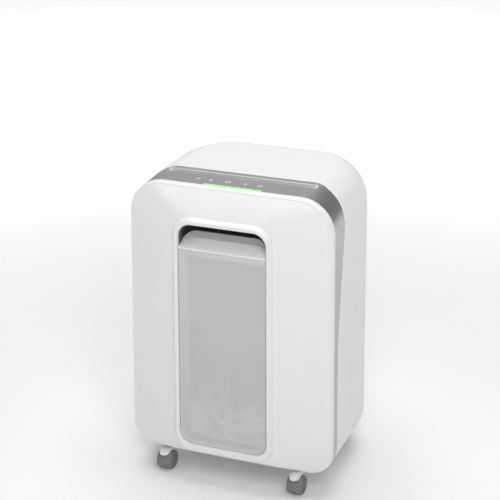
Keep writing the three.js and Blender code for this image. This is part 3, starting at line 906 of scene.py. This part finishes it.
# %% [markdown]
# ## Pull and finger space
# Above the window a ledge slopes back to an upright lip, and fingers reach over the lip into a shaded
# space. Ledge and lip are one plastic. The ledge is coloured lighter as painted light, the lip darker as
# painted shade, and the space is lined in dark grey as painted shade. Both are drawn along X from a side
# profile, then trimmed to the arch of the opening.

# %% The arch of the opening
pull_low, pull_high = box_mm("pull_handle")
pocket_low, pocket_high = box_mm("handle_pocket")


def arched(piece, high, inset, corner):
    """Keeps only what lies inside an arched opening of this height."""
    rings = [
        section(y, half=WINDOW_HALF - inset, low=300, high=high, top=corner, bottom=10)
        for y in (-160, -90)
    ]
    return combine(piece, "INTERSECT", skin("arch tool", rings))


# %% Ledge and lip
LEDGE_LOW, LEDGE_THICK = pull_low[2], 2.2
LEDGE_FRONT, LIP_FACE, LIP_THICK = -143.0, -120.6, 2.7
LEDGE_SLOPE = 11.8 / (LIP_FACE - LEDGE_FRONT)
BOW_RADIUS, BOW_DEPTH = 22.0, 17.0


def lip_face(x):
    """The lip is bowed in plan: straight in the middle, and curved forwards at both ends."""
    past = min(max(abs(x) - (pull_high[0] - BOW_RADIUS), 0.0), BOW_RADIUS)
    return LIP_FACE - BOW_DEPTH * (1 - math.sqrt(1 - (past / BOW_RADIUS) ** 2))


def ledge_top(y):
    return LEDGE_LOW + LEDGE_THICK + LEDGE_SLOPE * (y - LEDGE_FRONT)


bowed = [pull_high[0] - BOW_RADIUS + BOW_RADIUS * math.sin(a) for a in arc(0, 90, 10)]
stations = [-x for x in reversed(bowed)] + [-26, 0, 26] + bowed
ledge_rings, lip_rings = [], []
for x in stations:
    face = lip_face(x)
    back = face + LIP_THICK
    root, root_top = face + 0.4, ledge_top(face + 0.4)
    lip_foot, lip_top = ledge_top(face) - 1.8, pull_high[2]
    ledge_rings.append([
        (x, LEDGE_FRONT, LEDGE_LOW), (x, LEDGE_FRONT, LEDGE_LOW + LEDGE_THICK), (x, root, root_top),
        (x, root, root_top - LEDGE_THICK), (x, LEDGE_FRONT + 2.0, LEDGE_LOW),
    ])
    lip_rings.append([(x, face, lip_foot), (x, face, lip_top), (x, back, lip_top), (x, back, lip_foot)])
# The ledge gets the lightened colour as painted light, and the lip gets the darkened colour as painted shade.
for name, rings, finish, nodes in [
    ("pull_ledge", ledge_rings, pull_ledge_painted_light_abs, ["pull_handle"]), ("pull_lip", lip_rings, pull_lip_painted_shade_abs, []),
]:
    pull = arched(skin(name, rings), pull_high[2] - 0.1, 0.6, WINDOW_CORNER + 2)
    rounded_edges(pull, 0.5, 2)
    hand_over(pull, "bin", "handle_grey", finish, *nodes)

# %% Dark space behind the lip, coloured dark grey as painted shade
POCKET_FLOOR, POCKET_TOP = pocket_low[2], pocket_high[2]
POCKET_FRONT, POCKET_BACK, POCKET_WALL, POCKET_BASE = -117.5, -105.4, 2.4, 2.5
LINER_FRONT = -138.5
pocket_profile = [
    (POCKET_FRONT, POCKET_FLOOR), (POCKET_BACK, POCKET_FLOOR), (POCKET_BACK, POCKET_TOP),
    (POCKET_BACK - POCKET_WALL, POCKET_TOP), (POCKET_BACK - POCKET_WALL, POCKET_FLOOR + POCKET_BASE),
    (POCKET_FRONT, POCKET_FLOOR + POCKET_BASE),
]
pocket = arched(prism("finger space wall", pocket_profile, -90, 90), POCKET_TOP, 0.4, WINDOW_CORNER)
# The liner is a dark sheet inside the opening that stands for its shade: painted shade.
liner = skin("finger space liner", [
    section(y, half=WINDOW_HALF - inset, low=LEDGE_LOW + 3, high=POCKET_TOP + 0.4 - inset,
            top=WINDOW_CORNER - inset, bottom=1.0)
    for y, inset in ((LINER_FRONT, 0.4), (POCKET_BACK, 0.4), (POCKET_BACK, 1.4), (LINER_FRONT, 1.4))
], endless=True)
cut(liner, block("liner foot tool", (-90, -150, LEDGE_LOW), (90, -100, POCKET_FLOOR)))
pocket = merged("finger_space", pocket, liner)
hand_over(pocket, "bin", "dark_plastic", finger_space_painted_shade_abs, "handle_pocket")

# %% [markdown]
# ## Copies with softened edges
# Most inner parts have the right shape already, but their edges are knife sharp, and a real edge always
# catches some light. Each is copied, its loose triangles are merged into flat faces, and a small bevel
# is put on its clear edges.

# %% Softened copies
def clean_copy(node, name):
    """A copy of a CAD node whose loose triangles are merged into flat faces."""
    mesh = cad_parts[node].data.copy()
    mesh.materials.clear()
    shape = bmesh.new()
    shape.from_mesh(mesh)
    bmesh.ops.remove_doubles(shape, verts=shape.verts, dist=0.02 * MM)
    bmesh.ops.dissolve_limit(shape, angle_limit=math.radians(0.5), verts=shape.verts, edges=shape.edges)
    shape.to_mesh(mesh)
    shape.free()
    return linked(name, mesh)


def softened(node, name, width, material, slot, body, segments=2, angle=30):
    """A clean copy of a CAD node, with rounded edges, that stands for it."""
    piece = rounded_edges(clean_copy(node, name), width, segments, angle)
    return hand_over(piece, body, slot, material, node)


# %% The copies made
BODY_OF = {"rocker_switch": "rocker", "bin_magnet": "bin"}  # all the others stay on the cabinet
for material, slot, parts in [
    (white_gloss_abs, "white_shell", [
        ("front_frame", "bay_frame", 0.5), ("base_tray", "underside_tray", 1.0),
    ]),
    (black_grain_abs, "dark_plastic", [
        ("switch_bezel", "switch_surround", 0.5), ("rocker_switch", "rocker_key", 0.6),
        ("bin_sensor", "bin_sensor_block", 0.8),
    ]),
    (pale_grey_abs, "light_grey", [
        ("bin_rail_left", "slide_rail_left", 0.8), ("bin_rail_right", "slide_rail_right", 0.8),
    ]),
    (zinc_sheet, "zinc_plate", [
        ("head_plate_left", "side_plate_left", 0.4), ("head_plate_right", "side_plate_right", 0.4),
        ("throat_plate_front", "throat_sheet_front", 0.4), ("throat_plate_rear", "throat_sheet_rear", 0.4),
        ("chute_plate", "chute_sheet", 0.6),
    ]),
    (gear_steel, "gear_steel", [("bin_magnet", "bin_magnet_block", 0.4)]),
    (board_laminate, "circuit_board", [
        ("touch_board", "touch_circuit", 0.2), ("power_board", "power_circuit", 0.2),
    ]),
]:
    for node, name, width in parts:
        softened(node, name, width, material, slot, BODY_OF.get(node, "cabinet"))

# %% [markdown]
# ## Casters
# Each caster has two narrow wheels on one axle. A wheel has a soft round tread and a dished outer face
# with a raised hub, which is what makes it look like a wheel and not a disc. It is a body of revolution,
# so it is turned from half its section. Between the wheels stands a flat web that carries the axle and
# the stem, and a curved hood grows from it over the front of the wheels.

# %% Caster wheels
HOOD_GAP, HOOD_WALL = 0.9, 1.6
CASTERS = ["front_left", "front_right", "rear_left", "rear_right"]
for tag in CASTERS:
    low, high = box_mm(f"caster_wheels_{tag}")
    axle = middle(low, high)
    radius = axle[2]
    side = (high[0] - low[0]) / 2
    face = [
        (side - 2.0, 0.0), (side - 2.0, radius * 0.30), (side - 0.4, radius * 0.34),
        (side - 0.4, radius * 0.46), (side - 1.8, radius * 0.52), (side - 1.8, radius * 0.72),
        (side - 0.2, radius * 0.80), (side, radius * 0.84), (side - 0.3, radius - 1.6),
        (side - 1.4, radius - 0.4), (side - 3.0, radius), (4.8, radius), (3.5, radius - 0.6),
        (3.1, radius - 1.6), (3.1, 2.4),
    ]
    profile = face + [(-x, r) for x, r in reversed(face)]
    wheels = turned(f"twin_wheels_{tag}", profile, axle, 72)
    hand_over(wheels, f"wheels_{tag}", "caster_grey", caster_nylon, f"caster_wheels_{tag}")

# %% Caster forks
def hood_arc(radius, axle):
    """Points of the hood's arc in front of the wheels, as (y, z)."""
    return [(axle[1] + radius * math.cos(a), axle[2] + radius * math.sin(a)) for a in arc(118, 202, 14)]


for tag in CASTERS:
    node = f"caster_fork_{tag}"
    low, high = box_mm(f"caster_wheels_{tag}")
    axle = middle(low, high)
    radius = axle[2] + HOOD_GAP
    hood_side = hood_arc(radius, axle) + hood_arc(radius + HOOD_WALL, axle)[::-1]
    hood = prism(f"fork_{tag}", hood_side, low[0] + 0.5, high[0] - 0.5)
    combine(hood, "UNION", clean_copy(node, "web tool"))
    rounded_edges(hood, 0.45, 2)
    hand_over(hood, f"swivel_{tag}", "caster_grey", caster_nylon, node)

# %% [markdown]
# ## Shreds
# The bin holds paper already cut into short curled strips. A lumpy heap gives them something to lie on,
# and Geometry Nodes scatter one bent strip over its surface thousands of times: each copy is turned,
# stretched and given a number for its tint, from fixed seeds.

# %% A heap for the strips to lie on
tub_low, tub_high = box_mm("bin_tub")
heap_low, heap_high = box_mm("paper_shreds")
HEAP_TOP = 112.0
STRIP_LENGTH, STRIP_WIDTH, STRIP_THICKNESS = 17.0, 4.4, 0.35
STRIP_CURL = 45.0  # rise in metres for each square metre of distance along the strip


def heap_height(x, y):
    """A gently rolling surface, highest near the middle of the bin."""
    middle = math.exp(-(x / 120) ** 2 - ((y + 20) / 110) ** 2)
    roll = 5 * math.sin(x / 23 + 1.3) * math.cos(y / 29) + 3 * math.sin(x / 9 + y / 13)
    return HEAP_TOP - 8 + 16 * middle + roll


def heap_mesh(name, x_limits, y_limits, floor_z):
    """A closed body with the heap's surface on top."""
    columns = [x_limits[0] + n * (x_limits[1] - x_limits[0]) / 40 for n in range(41)]
    rows_of_y = [y_limits[0] + n * (y_limits[1] - y_limits[0]) / 30 for n in range(31)]
    points = [(x, y, heap_height(x, y)) for y in rows_of_y for x in columns]
    points += [(x, y, floor_z) for y in rows_of_y for x in columns]
    wide, deep = len(columns), len(rows_of_y)
    under = wide * deep
    faces = []
    for j in range(deep - 1):
        for i in range(wide - 1):
            a = j * wide + i
            quad = (a, a + 1, a + wide + 1, a + wide)
            faces += [quad, tuple(under + corner for corner in reversed(quad))]
    border = list(range(wide))
    border += [j * wide + wide - 1 for j in range(1, deep)]
    border += [(deep - 1) * wide + i for i in range(wide - 2, -1, -1)]
    border += [j * wide for j in range(deep - 2, 0, -1)]
    for here, there in zip(border, border[1:] + border[:1]):
        faces.append((here, there, under + there, under + here))
    return mesh_object(name, points, faces)


# %% Trees and what they grow
def node_group(name, sockets):
    """A geometry tree with one geometry output and the named inputs; returns it and the identifiers."""
    tree = bpy.data.node_groups.new(name, "GeometryNodeTree")
    tree.interface.new_socket("Geometry", in_out="OUTPUT", socket_type="NodeSocketGeometry")
    identifiers = {}
    for label, kind in sockets:
        socket = tree.interface.new_socket(label, in_out="INPUT", socket_type=kind)
        identifiers[label] = socket.identifier
    return tree, identifiers


def grown(name, tree, identifiers, values, host=None):
    """Runs a geometry tree on an object and keeps the result as a plain mesh."""
    piece = host or linked(name, bpy.data.meshes.new(name))
    modifier = piece.modifiers.new("grow", "NODES")
    modifier.node_group = tree
    for label, value in values.items():
        modifier[identifiers[label]] = value
    piece.data = plain_mesh(piece)
    piece.data.name = name
    print(f"{name}: {len(piece.data.polygons)} faces grown")
    return piece


# %% A tree that scatters bent strips
def strip_tree():
    """Bent paper strips on every face of the host, with a tint number each."""
    tree, identifiers = node_group("scattered strips", [
        ("Heap", "NodeSocketGeometry"), ("Count per Square Metre", "NodeSocketFloat"),
        ("Length", "NodeSocketFloat"), ("Width", "NodeSocketFloat"), ("Thickness", "NodeSocketFloat"),
        ("Seed", "NodeSocketInt"), ("Paper", "NodeSocketMaterial"),
    ])
    given = add_node(tree, "NodeGroupInput").outputs
    # One strip: a thin closed bar along X, bent upwards like a curl.
    size = add_node(tree, "ShaderNodeCombineXYZ", {
        "X": given["Length"], "Y": given["Width"], "Z": given["Thickness"],
    })
    strip = add_node(tree, "GeometryNodeMeshCube", {"Size": size.outputs[0], "Vertices X": 6})
    where = add_node(tree, "GeometryNodeInputPosition")
    parts = add_node(tree, "ShaderNodeSeparateXYZ", {0: where.outputs[0]})
    along = parts.outputs["X"]
    squared = add_node(tree, "ShaderNodeMath", {0: along, 1: along}, operation="MULTIPLY")
    lift = add_node(tree, "ShaderNodeMath", {0: squared.outputs[0], 1: STRIP_CURL}, operation="MULTIPLY")
    rise = add_node(tree, "ShaderNodeCombineXYZ", {"Z": lift.outputs[0]})
    bent = add_node(tree, "GeometryNodeSetPosition", {
        "Geometry": strip.outputs["Mesh"], "Offset": rise.outputs[0],
    })
    spots = add_node(tree, "GeometryNodeDistributePointsOnFaces", {
        "Mesh": given["Heap"], "Density": given["Count per Square Metre"], "Seed": given["Seed"],
    })
    turn = add_node(tree, "FunctionNodeRandomValue", {
        "Min": (-0.9, -0.9, 0.0), "Max": (0.9, 0.9, 6.283), "Seed": given["Seed"],
    }, data_type="FLOAT_VECTOR")
    stretch = add_node(tree, "FunctionNodeRandomValue", {
        "Min": (0.5, 0.8, 0.7), "Max": (1.1, 1.1, 1.4), "Seed": 11,
    }, data_type="FLOAT_VECTOR")
    laid = add_node(tree, "GeometryNodeInstanceOnPoints", {
        "Points": spots.outputs["Points"], "Instance": bent.outputs[0],
        "Rotation": turn.outputs["Value"], "Scale": stretch.outputs["Value"],
    })
    number = add_node(tree, "FunctionNodeRandomValue", {"Seed": 23}, data_type="FLOAT")
    tinted = add_node(tree, "GeometryNodeStoreNamedAttribute", {
        "Geometry": laid.outputs[0], "Name": "tint", "Value": number.outputs[1],
    }, data_type="FLOAT", domain="INSTANCE")
    loose = add_node(tree, "GeometryNodeRealizeInstances", {"Geometry": tinted.outputs[0]})
    both = add_node(tree, "GeometryNodeJoinGeometry")
    tree.links.new(loose.outputs[0], both.inputs[0])
    tree.links.new(given["Heap"], both.inputs[0])
    papered = add_node(tree, "GeometryNodeSetMaterial", {
        "Geometry": both.outputs[0], "Material": given["Paper"],
    })
    add_node(tree, "NodeGroupOutput", {0: papered.outputs[0]})
    return tree, identifiers


strips, strip_inputs = strip_tree()


def covered_in_strips(heap, per_square_metre, seed, *nodes):
    """Scatters strips over a heap and hands it over to the bin."""
    grown(heap.name, strips, strip_inputs, {
        "Count per Square Metre": per_square_metre, "Length": STRIP_LENGTH * MM, "Width": STRIP_WIDTH * MM,
        "Thickness": STRIP_THICKNESS * MM, "Seed": seed, "Paper": paper_stock,
    }, heap)
    hand_over(heap, "bin", "paper", paper_stock, *nodes)


# %% The heap in the tub, and the strips against the window
MARGIN = 9.0
across = (heap_low[0] + MARGIN, heap_high[0] - MARGIN)
deep = (tub_low[1] + WALL + MARGIN, heap_high[1] - MARGIN)
tub_heap = heap_mesh("shred_heap", across, deep, tub_low[2] + WALL + 1.5)
covered_in_strips(tub_heap, 26000.0, 5, "paper_shreds")
window_heap = block("shreds_at_window", (-63, -131, window_low[2] + 9), (63, -102, 138.0), 3.0)
covered_in_strips(window_heap, 60000.0, 9)

# %% [markdown]
# ## Tub
# Behind the front hangs an open-topped tub. It is thin-walled, its corners are rounded, its rim turns
# outwards for stiffness, and shallow ribs stand on its sides. A tall hole in its front shows the shreds
# through the window.

# %% Tub
TUB_CORNER, TUB_WALL, RIM_DEPTH, RIM_OUT = 14.0, 2.2, 5.0, 2.5


def tub_ring(z, inset):
    plan = rounded_plan(
        tub_low[0] + inset, tub_high[0] - inset, tub_low[1] + inset, tub_high[1] - inset,
        TUB_CORNER - inset if inset < TUB_CORNER - 1 else 1.0,
    )
    return [(x, y, z) for x, y in plan]


rim_z, foot_z = tub_high[2], tub_low[2]
under_rim, tub_inside = rim_z - RIM_DEPTH, RIM_OUT + TUB_WALL
tub_section = [
    (foot_z, RIM_OUT + 5), (foot_z + 1.2, RIM_OUT + 1.2), (foot_z + 5, RIM_OUT), (under_rim, RIM_OUT),
    (under_rim, 0.3), (under_rim + 0.6, 0.0), (rim_z - 0.8, 0.0), (rim_z, 0.8), (rim_z, tub_inside - 0.6),
    (rim_z - 0.8, tub_inside), (foot_z + TUB_WALL + 5, tub_inside), (foot_z + TUB_WALL, tub_inside + 5),
]
tub = skin("shred_tub", [tub_ring(z, inset) for z, inset in tub_section])
window_hole = rounded_plan(-WINDOW_HALF, WINDOW_HALF, WINDOW_LOW + 4, rim_z + 30, 10)
cut(tub, prism("window hole", window_hole, tub_low[1] - 5, tub_low[1] + 12, "y"))
hand_over(tub, "bin", "light_grey", milky_polypropylene, "bin_tub")

# %% [markdown]
# ## Things that repeat
# Ribs, vent slats, cutter teeth and screws are each one small shape copied many times. Geometry Nodes do
# the copying: a tree places the shape along a line or round an axis, and the inputs on its modifier say
# how many and how far apart. The result is then turned into plain mesh.

# %% Copies along a line
def row_tree():
    """Copies of a shape along a line, each turned about X a little further than the one before."""
    tree, identifiers = node_group("copies in a row", [
        ("Shape", "NodeSocketObject"), ("Count", "NodeSocketInt"), ("Start", "NodeSocketVector"),
        ("Step", "NodeSocketVector"), ("Turn", "NodeSocketFloat"), ("Finish", "NodeSocketMaterial"),
    ])
    given = add_node(tree, "NodeGroupInput").outputs
    line = add_node(tree, "GeometryNodeMeshLine", {
        "Count": given["Count"], "Start Location": given["Start"], "Offset": given["Step"],
    })
    shape = add_node(tree, "GeometryNodeObjectInfo", {"Object": given["Shape"]})
    number = add_node(tree, "GeometryNodeInputIndex").outputs[0]
    turn = add_node(tree, "ShaderNodeMath", {0: number, 1: given["Turn"]}, operation="MULTIPLY")
    about_x = add_node(tree, "ShaderNodeCombineXYZ", {"X": turn.outputs[0]})
    copies = add_node(tree, "GeometryNodeInstanceOnPoints", {
        "Points": line.outputs["Mesh"], "Instance": shape.outputs["Geometry"], "Rotation": about_x.outputs[0],
    })
    solid = add_node(tree, "GeometryNodeRealizeInstances", {"Geometry": copies.outputs[0]})
    coated = add_node(tree, "GeometryNodeSetMaterial", {
        "Geometry": solid.outputs[0], "Material": given["Finish"],
    })
    add_node(tree, "NodeGroupOutput", {0: coated.outputs[0]})
    return tree, identifiers


rows, row_inputs = row_tree()


def in_a_row(name, shape, count, start, step, finish, turn=0.0):
    """A row of copies of a shape, which is removed afterwards; start and step are in millimetres."""
    piece = grown(name, rows, row_inputs, {
        "Shape": shape, "Count": count, "Start": tuple(value * MM for value in start),
        "Step": tuple(value * MM for value in step), "Turn": turn, "Finish": finish,
    })
    bpy.data.objects.remove(shape)
    return piece


# %% Ribs on the tub
RIB_COUNT, RIB_THICK, RIB_RISE, RIB_FOOT, RIB_MARGIN = 6, 1.6, 2.1, 80, 30
for side, x in (("left", tub_low[0] + 0.4), ("right", tub_high[0] - 0.4 - RIM_OUT + 0.3)):
    rib = block("rib", (x, -RIB_THICK / 2, RIB_FOOT), (x + RIB_RISE, RIB_THICK / 2, under_rim), 0.5, 2)
    pitch = (tub_high[1] - tub_low[1] - 2 * RIB_MARGIN) / (RIB_COUNT - 1)
    first = (0, tub_low[1] + RIB_MARGIN, 0)
    ribs = in_a_row(f"tub_ribs_{side}", rib, RIB_COUNT, first, (0, pitch, 0), milky_polypropylene)
    hand_over(ribs, "bin", "light_grey", milky_polypropylene)

# %% [markdown]
# ## Vent grille and lead collar
# Warm air from the motor leaves through a black grille at the back: a frame with level slats. Beside the
# switch below it is the round collar where the mains lead would leave.

# %% Vent grille
SLAT_COUNT, FRAME_WIDTH = 13, 7


def grille_plan(border, radius):
    """The grille's outline, or its opening, as (x, z)."""
    (x0, _, z0), (x1, _, z1) = grille_low, grille_high
    return rounded_plan(x0 + border, x1 - border, z0 + border, z1 - border, radius)


grille_frame = prism("grille frame", grille_plan(0, 5), grille_low[1], grille_high[1], "y")
opening = prism("grille opening", grille_plan(FRAME_WIDTH, 2), grille_low[1] - 5, grille_high[1] + 5, "y")
rounded_edges(cut(grille_frame, opening), 0.5, 2)
slat_low = (grille_low[0] + 6.5, grille_low[1] + 0.2, -1.6)
slat_high = (grille_high[0] - 6.5, grille_high[1] - 0.3, 1.6)
slat = block("slat", slat_low, slat_high, 0.5, 2)
slat_step = (grille_high[2] - grille_low[2] - 2 * FRAME_WIDTH) / (SLAT_COUNT + 1)
first_slat = (0, 0, grille_low[2] + FRAME_WIDTH + slat_step)
slats = in_a_row("grille slats", slat, SLAT_COUNT, first_slat, (0, 0, slat_step), black_grain_abs)
grille = merged("vent_grille", grille_frame, slats)
hand_over(grille, "cabinet", "dark_plastic", black_grain_abs, "rear_grille")

# %% Lead collar
collar_section = [
    (inlet_low[1], 5.2), (inlet_low[1], 7.6), (inlet_low[1] + 0.4, 8.0), (143.1, 8.0), (143.1, 11.6),
    (143.5, 12.0), (144.6, 12.0), (145.4, 11.4), (146.0, 10.2), (146.0, 6.2), (145.2, 5.2), (144.0, 5.0),
    (inlet_low[1] + 1, 5.0),
]
collar = skin("lead_collar_ring", [
    [(inlet_middle[0] + r * math.cos(a), y, inlet_middle[2] + r * math.sin(a)) for a in full_turn(64)]
    for y, r in collar_section
], endless=True)
hand_over(collar, "cabinet", "dark_plastic", black_grain_abs, "mains_inlet")

# %% [markdown]
# ## Cutting head
# Two shafts carry steel rings with hooked teeth, and the rings of one shaft run in the spaces of the
# other. A ring is drawn from the side as an outline with teeth and given its thickness, then it is
# copied along its shaft. Each next ring is turned a little, so that the teeth bite one after another.

# %% Cutter shafts
CUTTER_RADIUS, SHAFT_RADIUS, HUB_RADIUS, HUB_END, CHAMFER = 20.0, 5.0, 14.0, 125.0, 0.6
RING_WIDTH, RING_PITCH, RING_COUNT, TEETH = 14.0, 30.0, 8, 18
RING_TURN = math.radians(7)


def ring_outline(radius, teeth):
    """A ring with hooked teeth, seen along its axis, as (y, z)."""
    hook = [(0.0, 0.0), (0.12, 0.0), (0.16, 1.7), (0.55, 1.9), (0.8, 1.0)]
    outline = []
    for tooth in range(teeth):
        for share, drop in hook:
            angle = 2 * math.pi * (tooth + share) / teeth
            outline.append(((radius - drop) * math.cos(angle), (radius - drop) * math.sin(angle)))
    return outline


for node, first_x in (("front_cutter", -105.0), ("rear_cutter", -90.0)):
    low, high = box_mm(node)
    axis = (0.0, *middle(low, high)[1:])
    count = RING_COUNT if node == "front_cutter" else RING_COUNT - 1
    shaft = turned(f"{node} shaft", [
        (low[0], 0.0), (low[0], SHAFT_RADIUS - CHAMFER), (low[0] + CHAMFER, SHAFT_RADIUS),
        (-HUB_END, SHAFT_RADIUS), (-HUB_END, HUB_RADIUS - CHAMFER), (-HUB_END + CHAMFER, HUB_RADIUS),
        (HUB_END - CHAMFER, HUB_RADIUS), (HUB_END, HUB_RADIUS - CHAMFER), (HUB_END, SHAFT_RADIUS),
        (high[0] - CHAMFER, SHAFT_RADIUS), (high[0], SHAFT_RADIUS - CHAMFER), (high[0], 0.0),
    ], axis, 48)
    ring = prism("ring", ring_outline(CUTTER_RADIUS, TEETH), -RING_WIDTH / 2, RING_WIDTH / 2)
    first = (first_x, axis[1], axis[2])
    ring_set = in_a_row(f"{node} rings", ring, count, first, (RING_PITCH, 0, 0), cutter_steel, RING_TURN)
    cutter = merged(f"{node}_shaft", shaft, ring_set)
    hand_over(cutter, node, "cutter_steel", cutter_steel, node)

# %% [markdown]
# ## Rods, bearings and motor
# Three tie rods hold the side plates apart, two bars comb the rings clean, and the shafts turn in
# flanged bronze bearings. The motor is a steel can with a wide shallow groove and a boss at each end. All
# but the bars and bearings are turned from half their section, fine enough that no flats show.

# %% Rods and bars
for node in ("tie_rod_front", "tie_rod_rear", "tie_rod_low", "reduction_axle"):
    low, high = box_mm(node)
    radius = (high[2] - low[2]) / 2
    axis = middle(low, high)
    half = (high[0] - low[0]) / 2
    neck = radius - 0.5
    rod = turned(f"{node}_bar", [
        (-half, 0.0), (-half, neck - 0.4), (-half + 0.4, neck), (-half + 3.0, neck), (-half + 3.2, radius),
        (half - 3.2, radius), (half - 3.0, neck), (half - 0.4, neck), (half, neck - 0.4), (half, 0.0),
    ], axis, 40)
    hand_over(rod, "cabinet", "zinc_plate", zinc_sheet, node)

for node in ("stripper_bar_front", "stripper_bar_rear"):
    softened(node, f"{node}_comb", 0.9, zinc_sheet, "zinc_plate", "cabinet")

for end, side in itertools.product(("front", "rear"), ("left", "right")):
    node = f"{end}_bearing_{side}"
    softened(node, f"{node}_bush", 0.35, oilite_bronze, "bronze", "cabinet")

# %% Motor
low, high = box_mm("motor")
motor_axis = (0.0, *middle(low, high)[1:])
CAN_START, CAN_END, BOSS, CAN = 2.0, 120.0, 12.0, 27.0
GROOVE_START, GROOVE_END, GROOVE_DEPTH = 24.0, 96.0, 1.0
motor = turned("drive_motor", [
    (low[0], 0.0), (low[0], BOSS - 1), (low[0] + 1, BOSS), (CAN_START, BOSS), (CAN_START, CAN - 2.5),
    (CAN_START + 0.8, CAN - 0.8), (CAN_START + 2.5, CAN), (GROOVE_START, CAN),
    (GROOVE_START + 0.6, CAN - GROOVE_DEPTH), (GROOVE_END, CAN - GROOVE_DEPTH), (GROOVE_END + 0.6, CAN),
    (CAN_END - 2.5, CAN), (CAN_END - 0.8, CAN - 0.8), (CAN_END, CAN - 2.5), (CAN_END, BOSS),
    (high[0] - 0.6, BOSS), (high[0], BOSS - 0.6), (high[0], 4.6), (high[0] - 8, 4.6), (high[0] - 8, 0.0),
], motor_axis, 72)
hand_over(motor, "cabinet", "motor_steel", motor_paint, "motor")

# %% Gears
for node, name, body in [
    ("front_cutter_gear", "front_shaft_gear", "front_cutter"),
    ("rear_cutter_gear", "rear_shaft_gear", "rear_cutter"),
    ("reduction_gear", "reduction_gear_pair", "reduction_gear"),
    ("motor_pinion", "pinion_on_motor", "motor_rotor"),
]:
    softened(node, name, 0.2, gear_steel, "gear_steel", body, 1, 40)

# %% [markdown]
# ## Screws
# The back is held by four screws and the underside by six. One screw head is a low dome with a cross
# recess, and a row of them is one line of copies.

# %% Screws
def screw_head(radius, height, facing):
    """A domed head with a cross recess; it faces back (+Y) or down (-Z)."""
    def stand(u, v, rise):
        return (u, rise, v) if facing == "back" else (u, v, -rise)

    dome = [(0.0, 1.0), (0.3, 1.0), (0.55, 0.9), (0.85, 0.6), (1.0, 0.2)]
    head = skin("screw", [
        [stand(share * radius * math.cos(a), share * radius * math.sin(a), rise * height)
         for a in full_turn(20)]
        for rise, share in dome
    ])
    slot_long, slot_wide, slot_foot = radius * 0.6, radius * 0.14, height * 0.55
    for u, v in ((slot_long, slot_wide), (slot_wide, slot_long)):
        ends = zip(stand(-u, -v, slot_foot), stand(u, v, height + 1.0))
        low, high = zip(*(sorted(pair) for pair in ends))
        cut(head, block("recess", low, high))
    return head


SEAT_BACK, SEAT_BELOW = REAR_Y - 0.1, BASE_Z - 0.5  # where a head rests, in y and in z
screw_rows = [
    ("back", 3.2, 1.6, (-66, SEAT_BACK, 462), (132, 0, 0), 2),
    ("back", 3.2, 1.6, (-66, SEAT_BACK, 190), (132, 0, 0), 2),
    ("underside", 3.6, 1.8, (-100, -60, SEAT_BELOW), (100, 0, 0), 3),
    ("underside", 3.6, 1.8, (-100, 60, SEAT_BELOW), (100, 0, 0), 3),
]
for number, (facing, radius, height, start, step, count) in enumerate(screw_rows):
    head = screw_head(radius, height, facing)
    screws = in_a_row(f"{facing}_screws_{number}", head, count, start, step, screw_steel)
    hand_over(screws, "cabinet", "zinc_plate", screw_steel)
